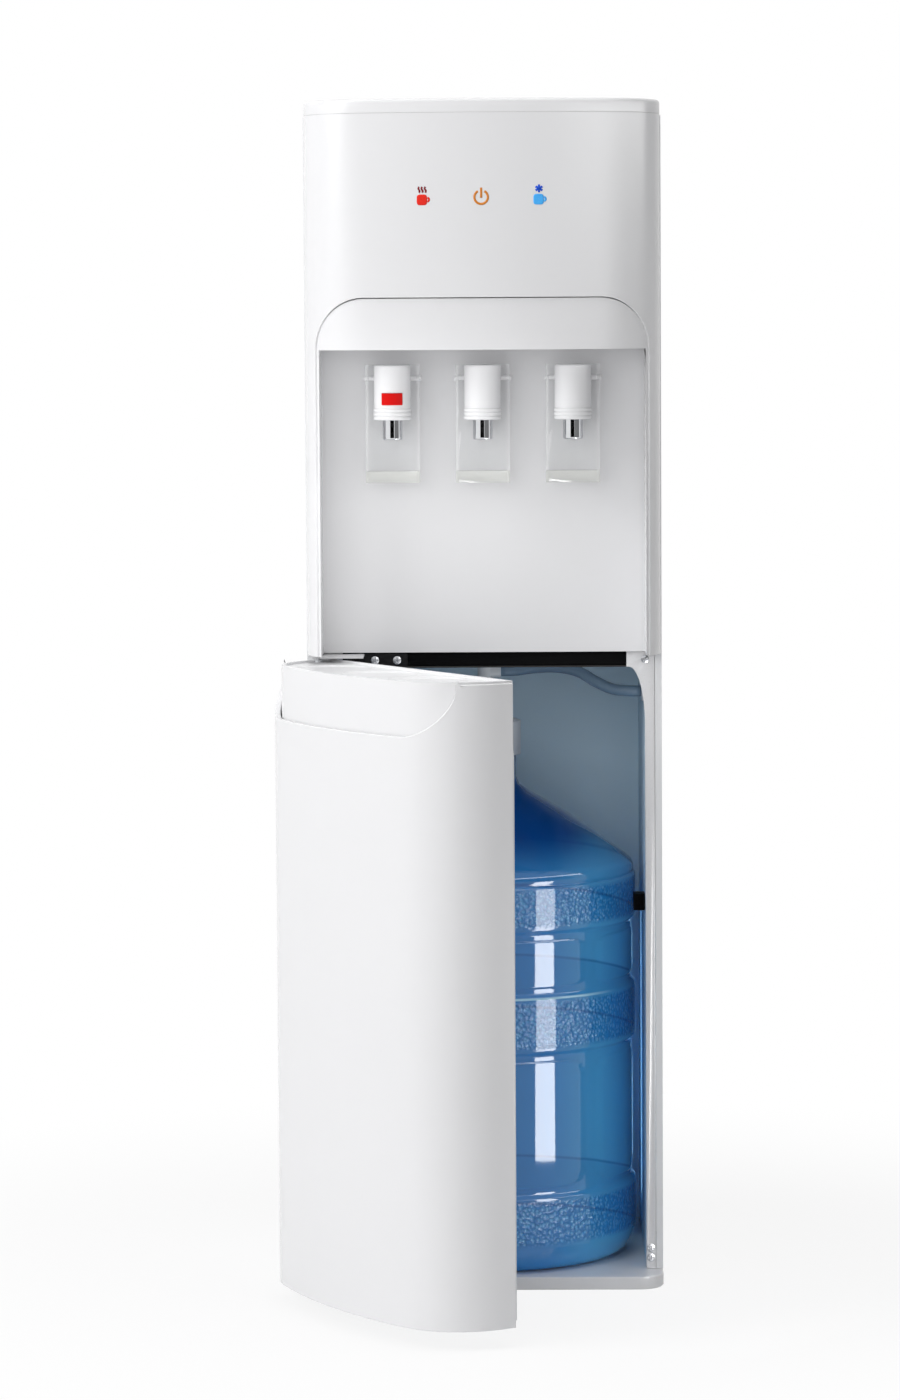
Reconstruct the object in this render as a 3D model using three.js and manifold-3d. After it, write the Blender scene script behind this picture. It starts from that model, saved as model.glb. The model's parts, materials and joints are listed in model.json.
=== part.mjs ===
// Bottom load water cooler, standing on the floor with its bottle compartment door swung open.
// Millimetres, +Z up, +X to the right as seen from the front, the front looks along -Y.
// The origin is on the floor under the middle of the steel body.
import * as THREE from "three";
import { mergeVertices } from "three/addons/utils/BufferGeometryUtils.js";
import Module from "manifold-3d";

const wasm = await Module();
wasm.setup();

// ---- Driving dimensions ----
const COVER_OVERHANG = 4.8; // front covers past the pillars, each side
const PANEL_PROUD = 1.5; // steel sides and base stand out past the covers
const HEIGHT = 1046;
const CORNER_RADIUS = 65; // plan corners of the bowed front
const BOW_RADIUS = 493; // plan radius of the bow between them
const SIDE_STEP = 18; // straight side of the bowed front, ahead of the door's back
const SEAT_GAP = 0.3; // between two pieces that seat on each other
const STEEL = 1.2;
const MOULDING = 2.5; // wall of the inner plastic mouldings
const SHELL = 3; // wall of the outer plastic covers

const BASE_THICK = 11.5;
const BASE_REACH = 37; // base in front of the pillars
const BASE_CORNER = 22;
const FOOT_RADIUS = 15;
const FOOT_HEIGHT = 7.7;
const FOOT_INSET = 30;

const STRIP_TOP_DROP = 170; // top of the arch below the cooler's top
const STRIP_HEIGHT = 45; // label strip between the arch and the niche
const ARCH_INSET = 10; // arch's sides from the front covers' sides
const ARCH_CORNER_X = 42;
const ARCH_CORNER_Z = 45;
const STRIP_INSET = 1.5; // label strip behind the head cover's surface
const ARCH_SEAM = 0.5;
const NICHE_WALL_SET = 4; // niche wall ahead of the pillars
const TOP_COVER_DEPTH = 12;

const OPENING_CLEAR = 6.8; // bottle to the pillars
const BAR_HEIGHT = 14; // frame's crossbar between the opening and the panel
const OPENING_CORNER_X = 14.1;
const OPENING_CORNER_Z = 52;
const PILLAR_WIDTH = 8.4;
const FRAME_DEPTH = 16;
const BAR_POCKET = 6;
const BAR_LIP = 1.5; // frame showing under the crossbar cover
const BAR_END = 2.3; // crossbar's pocket short of the opening's rounded corner
const BAR_SET = 1; // crossbar cover behind the pillars' face

const TAP_SPACING = 78.5;
const TAP_REACH = 46; // tap axis ahead of the pillars
const TAP_RADIUS = 16;
const TAP_DROP = 13.5; // tap top below the niche's ceiling
const TAP_HEIGHT = 47.5;
const RIB_COUNT = 3;
const RIB_PITCH = 3.4;
const RIB_HEIGHT = 0.7;
const NECK_RADIUS = 9;
const NECK_RISE = 27; // neck's axis above the tap's underside
const NECK_TAIL = 12; // neck behind the pillars' face
const SPOUT_RADIUS = 8.2;
const SPOUT_LENGTH = 17.3; // below the tap
const SPOUT_SOCKET = 6;
const SPOUT_BORE = 5.5;
const SPOUT_BORE_DEPTH = 14;

const LEVER_HALF = 23.5;
const LEVER_DROP = 55; // lever below the tap
const LEVER_THICK = 2.4;
const LEVER_BACK = 24.6; // back of the lever plate ahead of the pillars
const LEVER_SIDE_DEPTH = 18;
const LEVER_PAD_HEIGHT = 10;
const LEVER_PAD_REACH = 15;
const LEVER_PIVOT_DROP = 11.5; // pivot below the tap's top
const LEVER_PIVOT_REACH = 35;
const LEVER_WINDOW_HALF = 11.5;
const LEVER_WINDOW_DROP = 15; // window below the neck's axis
const TRUNNION_RADIUS = 2.2;
const TRUNNION_LENGTH = 50;

const BUTTON_WIDTH = 18.2;
const BUTTON_HEIGHT = 10.4;
const BUTTON_RISE = 18.3; // button's middle above the tap's underside
const BUTTON_PROUD = 1.2;
const BUTTON_LENGTH = 8.5;
const BUTTON_POCKET = 10; // pocket depth from the tap's front

const DOOR_ANGLE = 58; // open, as it stands
const DOOR_GAP = 3; // closed door ahead of the pillars
const HINGE_INSET = 9.2; // hinge axis from the side wall
const HINGE_REACH = 20; // hinge axis ahead of the pillars
const DOOR_BOTTOM = 16;
const SKIN_DROP = 1.5; // skin's top below the cap's rim
const SKIN_BACK_STEP = 3; // skin ahead of the liner's back
const SEAM_DROP = 46; // lowest part of the skin's U-shaped top edge below the rim
const CAP_DEPTH = 59;
const EAR_GAP = 1.7; // upper hinge ear above the cap
const EAR_CLEAR = 1.3; // and below the head
const CAP_INSET = 6;
const CAP_WALL = 2.5;
const CAP_RIM = 3.5;
const TRAY_DROP = 2;
const TRAY_THICK = 5;
const CUP_RADIUS = 33;
const CUP_DEPTH = 1.2;
const CUP_SET = 42; // cup dimples ahead of the door's back
const LINER_BOTTOM = 22;
const LINER_INSET = 1;
const LINER_CHAMFER = 3;
const LINER_THICK = 2.7;
const RECESS_INSET = 26;
const RECESS_DROP = 15; // recess below the cap
const BOSS_RADIUS = 5.6;
const BOSS_BOTTOM = 18;
const BOSS_LENGTH = 80;
const BUSH_RADIUS = 4;
const BUSH_FLANGE = 5.6;
const BUSH_LENGTH = 22;
const PIN_RADIUS = 2;
const PIN_LENGTH = 30;
const BRACKET_THICK = 2;

const BOTTLE_RADIUS = 135;
const BOTTLE_SET = 103; // bottle axis behind the pillars' face
const BOTTLE_HEIGHT = 479;
const BOTTLE_WALL = 1.6;
const NECK_OUTER = 27.5;
const PROBE_CAP_RADIUS = 32;
const PROBE_CAP_HEIGHT = 30;
const PROBE_CAP_TOP = 3;
const NOZZLE_RADIUS = 7;
const NOZZLE_CLEAR = 4; // nozzle below the opening's top
const NOZZLE_AXIS_DROP = 7; // side outlet below the nozzle's top
const NOZZLE_REACH = 14;
const TUBE_RADIUS = 5;
const TUBE_FLOOR_GAP = 8;
const HOSE_RADIUS = 5;
const FITTING_SET = 46; // wall fitting behind the pillars' face
const FITTING_DROP = 25; // wall fitting below the opening's top
const FITTING_RADIUS = 5.5;
const FITTING_FLANGE = 9;
const BOTTLE_CLEAR = 2; // bottle to the liner's back
const LINER_WALL = 2;
const REAR_SPACE = 24; // for the wiring behind the liner
const PROBE_ROOM = 59.2; // above the bottle, for the probe cap and its hose

const CATCH_SIZE = [10, 18, 15];
const CATCH_Z = 338.5;

const COMPRESSOR_RADIUS = 58;
const COMPRESSOR_HEIGHT = 135;
const HOT_TANK_RADIUS = 52;
const HOT_TANK_HEIGHT = 150;
const TANK_SHELF_CLEAR = 33; // tank shelf above the hot tank
const COLD_TANK_RADIUS = 75;
const TANK_LID_CLEAR = 97; // cold tank below the cooler's top
const JACKET_WALL = 22;
const TANK_WALL = 1.5;
const TANK_PORT = 8;
const PUMP_RADIUS = 24;
const PUMP_LENGTH = 80;
const BOARD_THICK = 1.6;
const BOARD_HALF = 70;
const BOARD_DROP = 85.5; // icons and their board below the cooler's top
const BOARD_HEIGHT = 40;
const BOARD_REACH = 84; // indicator board ahead of the pillars
const ICON_SPACING = 50;
const GUIDE_HALF = 57;
const GUIDE_DEPTH = 2.6;
const GUIDE_PRONG = 5;

const COIL_HALF = 118;
const COIL_CLEAR = 36; // lowest run above the drain, highest below the switches
const COIL_RUNS = 9;
const COIL_TUBE = 2.4;
const COIL_STANDOFF = 12;
const COIL_WIRES = 6;
const WIRE = 1.6;

const SCREW_HEAD = 3.6;
const SCREW_PROUD = 1.5;
const SCREW_SHANK = 1.8;
const SCREW_LENGTH = 10;
const ROCKER = [13, 8, 20];
const ROCKER_TILT = 8;
const ROCKER_SPACING = 26;
const SWITCH_X = 100;
const SWITCH_DROP = 61;
const GLAND_X = -110;
const GLAND_Z = 60;
const GLAND_RADIUS = 8;
const DRAIN_X = 80;
const DRAIN_RISE = 24; // drain pipe above the compressor shelf
const DRAIN_RADIUS = 6;
const DRAIN_CAP_RADIUS = 11;
const DRAIN_CAP_LENGTH = 15;

const CLEAN = 0.002; // slivers left by a cut are closed up to this

// ---- Derived places ----
const LINER_DEPTH = BOTTLE_SET + BOTTLE_RADIUS + BOTTLE_CLEAR + LINER_WALL;
const BODY_DEPTH = LINER_DEPTH + REAR_SPACE; // from the pillars' front face to the rear flange
const FRONT = -BODY_DEPTH / 2; // the pillars' front face
const REAR = BODY_DEPTH / 2;
const OPENING_HALF = BOTTLE_RADIUS + OPENING_CLEAR; // between the pillars
const OPENING_TOP_HALF = OPENING_HALF - OPENING_CORNER_X;
const BAR_HALF = OPENING_TOP_HALF - BAR_END;
const PILLAR_HALF = OPENING_HALF + PILLAR_WIDTH;
const HALF = PILLAR_HALF + COVER_OVERHANG; // half the width across the front covers
const ARCH_HALF = HALF - ARCH_INSET;
const BOTTLE_FOOT = BASE_THICK + SEAT_GAP;
const BOTTLE_TOP = BOTTLE_FOOT + BOTTLE_HEIGHT;
const OPENING_TOP = BOTTLE_TOP + PROBE_ROOM;
const PANEL_BOTTOM = OPENING_TOP + BAR_HEIGHT; // underside of the panel and of the front legs
const ARCH_TOP = HEIGHT - STRIP_TOP_DROP;
const NICHE_TOP = ARCH_TOP - STRIP_HEIGHT;
const TAP_TOP = NICHE_TOP - TAP_DROP;
const TAP_BOTTOM = TAP_TOP - TAP_HEIGHT;
const NECK_Z = TAP_BOTTOM + NECK_RISE;
const SPOUT_BOTTOM = TAP_BOTTOM - SPOUT_LENGTH;
const LEVER_BOTTOM = TAP_BOTTOM - LEVER_DROP;
const LEVER_PIVOT_Z = TAP_TOP - LEVER_PIVOT_DROP;
const BUTTON_Z = TAP_BOTTOM + BUTTON_RISE;
const BOARD_Z = HEIGHT - BOARD_DROP;
const SWITCH_Z = HEIGHT - SWITCH_DROP;
const EAR_Z = PANEL_BOTTOM - EAR_CLEAR - BRACKET_THICK; // underside of the upper hinge ear
const CAP_TOP = EAR_Z - EAR_GAP;
const CAP_BOTTOM = CAP_TOP - CAP_DEPTH;
const CAP_SEAM = CAP_TOP - SEAM_DROP;
const SKIN_TOP = CAP_TOP - SKIN_DROP;
const RECESS_TOP = CAP_BOTTOM - RECESS_DROP;
const NOZZLE_TOP = OPENING_TOP - NOZZLE_CLEAR;
const FITTING_Z = OPENING_TOP - FITTING_DROP;
const SIDE = HALF + PANEL_PROUD; // outer face of the steel sides
const DOOR_BACK = FRONT - DOOR_GAP;
const TANGENT = DOOR_BACK - SIDE_STEP; // where the straight sides end
const CORNER_X = HALF - CORNER_RADIUS;
const BOW_CENTRE = TANGENT + Math.sqrt((BOW_RADIUS - CORNER_RADIUS) ** 2 - CORNER_X ** 2);
const APEX = BOW_CENTRE - BOW_RADIUS; // foremost line of the bow
const WALL_FRONT = FRONT - NICHE_WALL_SET;
const SHELL_TOP = HEIGHT - TOP_COVER_DEPTH - SEAT_GAP;
const TAP_Y = FRONT - TAP_REACH;
const HINGE = new THREE.Vector3(-HALF + HINGE_INSET, FRONT - HINGE_REACH, 0);
const BOTTLE_Y = FRONT + BOTTLE_SET;
const SHELF_Z = OPENING_TOP + 2 * SEAT_GAP;
const SHELF_TOP = SHELF_Z + STEEL;
const STAND = SHELF_TOP + SEAT_GAP; // what stands on the compressor shelf
const PANEL_INNER = SIDE - STEEL - SEAT_GAP;
const REAR_FACE = REAR + SEAT_GAP + STEEL; // outer face of the rear panel
const HOT_TANK_X = DRAIN_X;
const HOT_TANK_Y = REAR - HOT_TANK_RADIUS - 12;
const DRAIN_Z = STAND + DRAIN_RISE;
const TANK_SHELF_Z = STAND + HOT_TANK_HEIGHT + TANK_SHELF_CLEAR;
const COLD_TANK_FOOT = TANK_SHELF_Z + STEEL + 2 * SEAT_GAP + JACKET_WALL;
const COLD_TANK_HEIGHT = HEIGHT - TANK_LID_CLEAR - COLD_TANK_FOOT;
const COIL_BOTTOM = DRAIN_Z + COIL_CLEAR;
const COIL_PITCH = (SWITCH_Z - 1.5 * COIL_CLEAR - COIL_BOTTOM) / (COIL_RUNS - 1);

// ---- Materials ----
const finish = (color, roughness, metalness = 0, more = {}) => () =>
  new THREE.MeshStandardMaterial({ color, roughness, metalness, ...more });
const whitePlastic = finish(0xf1f2f4, 0.28);
const innerWhite = finish(0xe6e8ea, 0.4);
const paintedSteel = finish(0xeceef0, 0.35);
const galvanised = finish(0xa9adb1, 0.45, 0.8);
const chromed = finish(0xd8dadc, 0.08, 1);
const stainless = finish(0xb9bcc0, 0.3, 0.9);
const blackPlastic = finish(0x0b0b0c, 0.45);
const blackSteel = finish(0x17181a, 0.5, 0.4);
const clearPlastic = finish(0xe9eef0, 0.08, 0, { transparent: true, opacity: 0.35 });
const redPlastic = finish(0xd5120c, 0.3);
const rubber = finish(0x202122, 0.85);
const bottleBlue = finish(0x3d86c4, 0.1, 0, { transparent: true, opacity: 0.45 });
const hoseBlue = finish(0x37516a, 0.45);
const foam = finish(0xf0f0ec, 0.9);
const boardGreen = finish(0x1c5a36, 0.5);
const greenPlastic = finish(0x1f8a3c, 0.3);

// ---- Solids ----
// A closed geometry as a solid that can be joined and cut.
function solid(geometry) {
  const bare = geometry.index ? geometry.toNonIndexed() : geometry.clone();
  const only = new THREE.BufferGeometry();
  only.setAttribute("position", bare.getAttribute("position"));
  const merged = mergeVertices(only, 1e-4);
  const vertProperties = merged.attributes.position.array;
  const triVerts = new Uint32Array(merged.index.array);
  return new wasm.Manifold(new wasm.Mesh({ numProp: 3, vertProperties, triVerts }));
}

// A solid as a geometry again.
function geometryOf(body) {
  const { vertProperties, triVerts } = body.simplify(CLEAN).getMesh();
  const geometry = new THREE.BufferGeometry();
  geometry.setAttribute("position", new THREE.BufferAttribute(vertProperties, 3));
  geometry.setIndex(new THREE.BufferAttribute(triVerts, 1));
  const flat = geometry.toNonIndexed();
  flat.computeVertexNormals();
  return flat;
}

function box([x0, x1], [y0, y1], [z0, z1]) {
  const geometry = new THREE.BoxGeometry(x1 - x0, y1 - y0, z1 - z0);
  return solid(geometry.translate((x0 + x1) / 2, (y0 + y1) / 2, (z0 + z1) / 2));
}

// A plan outline raised from one height to another.
function raise(shape, [z0, z1], segments = 9) {
  const options = { depth: z1 - z0, bevelEnabled: false, curveSegments: segments };
  return solid(new THREE.ExtrudeGeometry(shape, options).translate(0, 0, z0));
}

// A front outline, drawn in X and Z, carried from one Y to another.
function carry(shape, [y0, y1], segments = 10) {
  const options = { depth: y1 - y0, bevelEnabled: false, curveSegments: segments };
  const geometry = new THREE.ExtrudeGeometry(shape, options).rotateX(Math.PI / 2);
  return solid(geometry.translate(0, y1, 0));
}

// A round bar or disc along an axis, from one place on it to another.
function rod(axis, radius, [a, b], [u, v], sides = 20) {
  const geometry = new THREE.CylinderGeometry(radius, radius, b - a, sides);
  const middle = (a + b) / 2;
  if (axis === "x") return solid(geometry.rotateZ(Math.PI / 2).translate(middle, u, v));
  if (axis === "y") return solid(geometry.translate(u, middle, v));
  return solid(geometry.rotateX(Math.PI / 2).translate(u, v, middle));
}

// A turned piece: radius and height pairs going round its section, about a vertical axis.
function turned(profile, [x, y], segments = 32) {
  const points = profile.map(([r, z]) => new THREE.Vector2(r, z));
  const geometry = new THREE.LatheGeometry(points, segments).rotateX(Math.PI / 2);
  return solid(geometry.translate(x, y, 0));
}

// A round tube along a smooth line through some points.
function tube(points, radius, steps, sides = 10) {
  const section = new THREE.Shape();
  section.absarc(0, 0, radius, 0, 2 * Math.PI);
  const extrudePath = new THREE.CatmullRomCurve3(points, false, "centripetal");
  const options = { steps, extrudePath, curveSegments: sides / 2 };
  return solid(new THREE.ExtrudeGeometry(section, options));
}

function piece(name, body, material) {
  const mesh = new THREE.Mesh(geometryOf(body), material());
  mesh.name = name;
  return mesh;
}

// ---- Shared outlines ----
// The plan of the bowed front, drawn in by an inset, with straight sides back to a given line.
function bowedPlan(inset, back) {
  const bow = Math.asin(CORNER_X / (BOW_RADIUS - CORNER_RADIUS));
  const left = 1.5 * Math.PI - bow;
  const right = 1.5 * Math.PI + bow;
  const shape = new THREE.Shape();
  shape.moveTo(-HALF + inset, back);
  shape.lineTo(-HALF + inset, TANGENT);
  shape.absarc(-CORNER_X, TANGENT, CORNER_RADIUS - inset, Math.PI, left);
  shape.absarc(0, BOW_CENTRE, BOW_RADIUS - inset, left, right);
  shape.absarc(CORNER_X, TANGENT, CORNER_RADIUS - inset, right, 2 * Math.PI);
  shape.lineTo(HALF - inset, back);
  shape.closePath();
  return shape;
}

// An upright arch with elliptical shoulders.
function arch(half, bottom, top, cornerX, cornerZ) {
  const shape = new THREE.Shape();
  shape.moveTo(half, bottom);
  shape.lineTo(half, top - cornerZ);
  shape.absellipse(half - cornerX, top - cornerZ, cornerX, cornerZ, 0, Math.PI / 2);
  shape.absellipse(-half + cornerX, top - cornerZ, cornerX, cornerZ, Math.PI / 2, Math.PI);
  shape.lineTo(-half, bottom);
  shape.closePath();
  return shape;
}

// The same arch upside down, for the U-shaped top edge of the door's skin.
function hangingArch(half, bottom, top, cornerX, cornerZ) {
  const shape = new THREE.Shape();
  shape.moveTo(-half, top);
  shape.lineTo(-half, bottom + cornerZ);
  shape.absellipse(-half + cornerX, bottom + cornerZ, cornerX, cornerZ, Math.PI, 1.5 * Math.PI);
  shape.absellipse(half - cornerX, bottom + cornerZ, cornerX, cornerZ, 1.5 * Math.PI, 2 * Math.PI);
  shape.lineTo(half, top);
  shape.closePath();
  return shape;
}

function rectangle([x0, x1], [y0, y1]) {
  const shape = new THREE.Shape();
  shape.moveTo(x0, y0);
  shape.lineTo(x1, y0);
  shape.lineTo(x1, y1);
  shape.lineTo(x0, y1);
  shape.closePath();
  return shape;
}

// ---- Base ----
const footPlaces = [-1, 1].flatMap((side) => [
  [side * (HALF - FOOT_INSET), FRONT + FOOT_INSET - BASE_REACH],
  [side * (HALF - FOOT_INSET), REAR - FOOT_INSET],
]);

function basePlate() {
  const half = SIDE;
  const nose = FRONT - BASE_REACH;
  const plan = new THREE.Shape();
  plan.moveTo(half, REAR);
  plan.lineTo(-half, REAR);
  plan.absarc(-half + BASE_CORNER, nose + BASE_CORNER, BASE_CORNER, Math.PI, 1.5 * Math.PI);
  plan.absarc(half - BASE_CORNER, nose + BASE_CORNER, BASE_CORNER, 1.5 * Math.PI, 2 * Math.PI);
  plan.closePath();
  let plate = raise(plan, [0, BASE_THICK]);
  for (const place of footPlaces)
    plate = plate.subtract(
      rod("z", FOOT_RADIUS + SEAT_GAP, [-1, FOOT_HEIGHT + SEAT_GAP], place),
    );
  return piece("base_plate", plate, whitePlastic);
}

function feet() {
  return footPlaces.map((place, i) =>
    piece(`foot_${i + 1}`, rod("z", FOOT_RADIUS, [0, FOOT_HEIGHT], place), rubber),
  );
}

// ---- Steel body ----
const FRONT_FLANGE = SIDE - PILLAR_HALF - SEAT_GAP;
const REAR_FLANGE = 12;

function sidePanel(side) {
  const span = [BASE_THICK + SEAT_GAP, SHELL_TOP];
  const outline = [
    [SIDE, FRONT],
    [SIDE, REAR],
    [SIDE - REAR_FLANGE, REAR],
    [SIDE - REAR_FLANGE, REAR - STEEL],
    [SIDE - STEEL, REAR - STEEL],
    [SIDE - STEEL, FRONT + STEEL],
    [SIDE - FRONT_FLANGE, FRONT + STEEL],
    [SIDE - FRONT_FLANGE, FRONT],
  ];
  const plan = new THREE.Shape(outline.map(([x, y]) => new THREE.Vector2(side * x, y)));
  const name = side < 0 ? "left_side_panel" : "right_side_panel";
  return piece(name, raise(plan, span), paintedSteel);
}

const SWITCH_WINDOW = [56, 26];
const VENT_SLOT = [46, 5];
const VENT_PITCH = 16;
const VENT_ROWS = 7;
const VENT_FOOT = 80;

function rearPanel() {
  const through = [REAR - 5, REAR + 10];
  const half = SIDE;
  const faces = [REAR + SEAT_GAP, REAR_FACE];
  let sheet = box([-half, half], faces, [BASE_THICK + SEAT_GAP, SHELL_TOP]);
  for (const x of [-60, 60])
    for (let row = 0; row < VENT_ROWS; row++) {
      const z = VENT_FOOT + row * VENT_PITCH;
      const slot = [x - VENT_SLOT[0] / 2, x + VENT_SLOT[0] / 2];
      sheet = sheet.subtract(box(slot, through, [z, z + VENT_SLOT[1]]));
    }
  const windowX = [SWITCH_X - SWITCH_WINDOW[0] / 2, SWITCH_X + SWITCH_WINDOW[0] / 2];
  const windowZ = [SWITCH_Z - SWITCH_WINDOW[1] / 2, SWITCH_Z + SWITCH_WINDOW[1] / 2];
  sheet = sheet.subtract(box(windowX, through, windowZ));
  sheet = sheet.subtract(rod("y", GLAND_RADIUS + SEAT_GAP, through, [GLAND_X, GLAND_Z]));
  sheet = sheet.subtract(rod("y", DRAIN_RADIUS + SEAT_GAP, through, [DRAIN_X, DRAIN_Z]));
  return piece("rear_panel", sheet, paintedSteel);
}

// ---- Front covers ----
function topCover() {
  const back = REAR_FACE;
  const under = HEIGHT - TOP_COVER_DEPTH;
  const lid = raise(bowedPlan(0, back), [under, HEIGHT]);
  const inside = raise(bowedPlan(SHELL, back - SHELL), [under - 1, HEIGHT - SHELL]);
  return piece("top_cover", lid.subtract(inside), whitePlastic);
}

const headArch = () =>
  arch(ARCH_HALF, PANEL_BOTTOM - 20, ARCH_TOP, ARCH_CORNER_X, ARCH_CORNER_Z);
const BOARD_POST = 3;
const boardPosts = [-1, 1].flatMap((x) =>
  [-1, 1].map((z) => [x * (BOARD_HALF - 6), BOARD_Z + z * (BOARD_HEIGHT / 2 - 6)]),
);

function headCover() {
  const back = FRONT - SEAT_GAP;
  const span = [PANEL_BOTTOM, SHELL_TOP];
  let cover = raise(bowedPlan(0, back), span)
    .subtract(raise(bowedPlan(SHELL, back + 10), [span[0] - 1, span[1] + 1]))
    .subtract(carry(headArch(), [APEX - 10, FRONT + 10]));
  const postSpan = [APEX + SHELL / 2, FRONT - BOARD_REACH - SEAT_GAP];
  const front = raise(bowedPlan(SHELL / 2, back), span);
  for (const place of boardPosts)
    cover = cover.add(rod("y", BOARD_POST, postSpan, place, 10).intersect(front));
  return piece("head_cover", cover, whitePlastic);
}

function dispensingPanel() {
  const half = ARCH_HALF - ARCH_SEAM;
  const top = ARCH_TOP - ARCH_SEAM;
  const outline = () => arch(half, PANEL_BOTTOM, top, ARCH_CORNER_X, ARCH_CORNER_Z);
  const wallBack = WALL_FRONT + MOULDING;
  const span = [PANEL_BOTTOM, top];
  const midWall = WALL_FRONT + MOULDING / 2;
  const solidFront = raise(bowedPlan(STRIP_INSET, midWall), span);
  const niche = box([-half + MOULDING, half - MOULDING], [APEX - 5, WALL_FRONT], [0, NICHE_TOP]);
  const aboveNiche = raise(
    bowedPlan(STRIP_INSET + MOULDING, WALL_FRONT),
    [NICHE_TOP + MOULDING, HEIGHT],
  );
  const wall = carry(outline(), [WALL_FRONT, wallBack]);
  let panel = solidFront
    .intersect(carry(outline(), [APEX - 5, midWall]))
    .subtract(niche)
    .subtract(aboveNiche)
    .add(wall);
  for (const i of [-1, 0, 1]) {
    const hole = rod("y", NECK_RADIUS + SEAT_GAP, [WALL_FRONT - 5, FRONT + 5], [i * TAP_SPACING, NECK_Z]);
    panel = panel.subtract(hole);
  }
  return piece("dispensing_panel", panel, whitePlastic);
}

// ---- Compartment front and lining ----
function frontFrame() {
  const top = PANEL_BOTTOM - SEAT_GAP;
  const foot = BASE_THICK + SEAT_GAP;
  const outer = rectangle([-PILLAR_HALF, PILLAR_HALF], [foot, top]);
  const opening = arch(OPENING_HALF, 0, OPENING_TOP, OPENING_CORNER_X, OPENING_CORNER_Z);
  const pocket = box(
    [-BAR_HALF, BAR_HALF],
    [FRONT - 1, FRONT + BAR_POCKET],
    [OPENING_TOP + BAR_LIP, top + 1],
  );
  let frame = carry(outer, [FRONT, FRONT + FRAME_DEPTH])
    .subtract(carry(opening, [FRONT - 5, FRONT + FRAME_DEPTH + 5]))
    .subtract(pocket);
  for (const [x, z] of [...frameScrews, ...hingeScrews])
    frame = frame.subtract(
      rod("y", SCREW_SHANK + SEAT_GAP, [FRONT - 1, FRONT + SCREW_LENGTH + 1], [x, z], 12),
    );
  return piece("front_frame", frame, whitePlastic);
}

const frameScrews = [
  [OPENING_HALF, OPENING_TOP + BAR_HEIGHT / 2],
  [(OPENING_HALF + PILLAR_HALF) / 2 - 0.3, 30],
  [(OPENING_HALF + PILLAR_HALF) / 2 - 0.3, 21.5],
];
const hingeScrews = [
  [-96.6, OPENING_TOP + BAR_HEIGHT / 2],
  [-77.1, OPENING_TOP + BAR_HEIGHT / 2],
];

function screw(name, [x, z], face) {
  const head = rod("y", SCREW_HEAD, [face - SCREW_PROUD, face - SEAT_GAP / 2], [x, z], 16);
  const shank = rod("y", SCREW_SHANK, [face - SCREW_PROUD, face + SCREW_LENGTH], [x, z], 12);
  return piece(name, head.add(shank), stainless);
}

function crossbarCover() {
  const half = BAR_HALF - SEAT_GAP;
  const span = [OPENING_TOP + BAR_LIP + SEAT_GAP, PANEL_BOTTOM - 2 * SEAT_GAP];
  let bar = box([-half, half], [FRONT + BAR_SET, FRONT + BAR_POCKET - SEAT_GAP], span);
  for (const [x, z] of hingeScrews)
    bar = bar.subtract(rod("y", SCREW_SHANK + SEAT_GAP, [FRONT, FRONT + 20], [x, z], 12));
  return piece("crossbar_cover", bar, blackPlastic);
}

const linerFront = FRONT + FRAME_DEPTH + SEAT_GAP;
const fittingX = OPENING_HALF + LINER_WALL + FITTING_RADIUS - 0.5;

function compartmentLiner() {
  const span = [BASE_THICK + SEAT_GAP, OPENING_TOP];
  const outer = OPENING_HALF + LINER_WALL;
  const back = FRONT + LINER_DEPTH;
  const shell = box([-outer, outer], [linerFront, back], span)
    .subtract(box([-OPENING_HALF, OPENING_HALF], [linerFront - 5, back - LINER_WALL], [0, HEIGHT]))
    .subtract(
      rod("x", FITTING_RADIUS + SEAT_GAP, [OPENING_HALF - 5, outer + 5], [FRONT + FITTING_SET, FITTING_Z]),
    );
  return piece("compartment_liner", shell, innerWhite);
}

function doorCatch() {
  const [w, d, h] = CATCH_SIZE;
  const right = OPENING_HALF - SEAT_GAP;
  const y = [linerFront + 2, linerFront + 2 + d];
  const body = box([right - w, right], y, [CATCH_Z - h / 2, CATCH_Z + h / 2]);
  const head = rod("y", SCREW_HEAD, [y[0] - SCREW_PROUD, y[0] + 1], [right - w / 2, CATCH_Z], 14);
  return piece("door_catch", body.add(head), blackPlastic);
}

// ---- Shelves and cooling parts behind the front covers ----
function compressorShelf() {
  const y = [linerFront, REAR - STEEL - SEAT_GAP];
  const plate = box([-PANEL_INNER, PANEL_INNER], y, [SHELF_Z, SHELF_TOP]);
  const rim = box([-PANEL_INNER, PANEL_INNER], [y[1] - STEEL, y[1]], [SHELF_Z, SHELF_Z + 12]);
  const pass = rod("z", FITTING_RADIUS, [SHELF_Z - 5, SHELF_TOP + 5], [fittingX, FRONT + FITTING_SET]);
  return piece("compressor_shelf", plate.add(rim).subtract(pass), galvanised);
}

const TANK_SHELF_LIP = 20;
const tankY = REAR - COLD_TANK_RADIUS - JACKET_WALL - 15;

function tankShelf() {
  const y = [FRONT + 22, REAR - STEEL - SEAT_GAP];
  const plate = box([-PANEL_INNER, PANEL_INNER], y, [TANK_SHELF_Z, TANK_SHELF_Z + STEEL]);
  const lip = (side) =>
    box(
      [side * PANEL_INNER, side * (PANEL_INNER - STEEL)].sort((a, b) => a - b),
      y,
      [TANK_SHELF_Z - TANK_SHELF_LIP, TANK_SHELF_Z + STEEL],
    );
  return piece("tank_shelf", plate.add(lip(-1)).add(lip(1)), galvanised);
}

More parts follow.
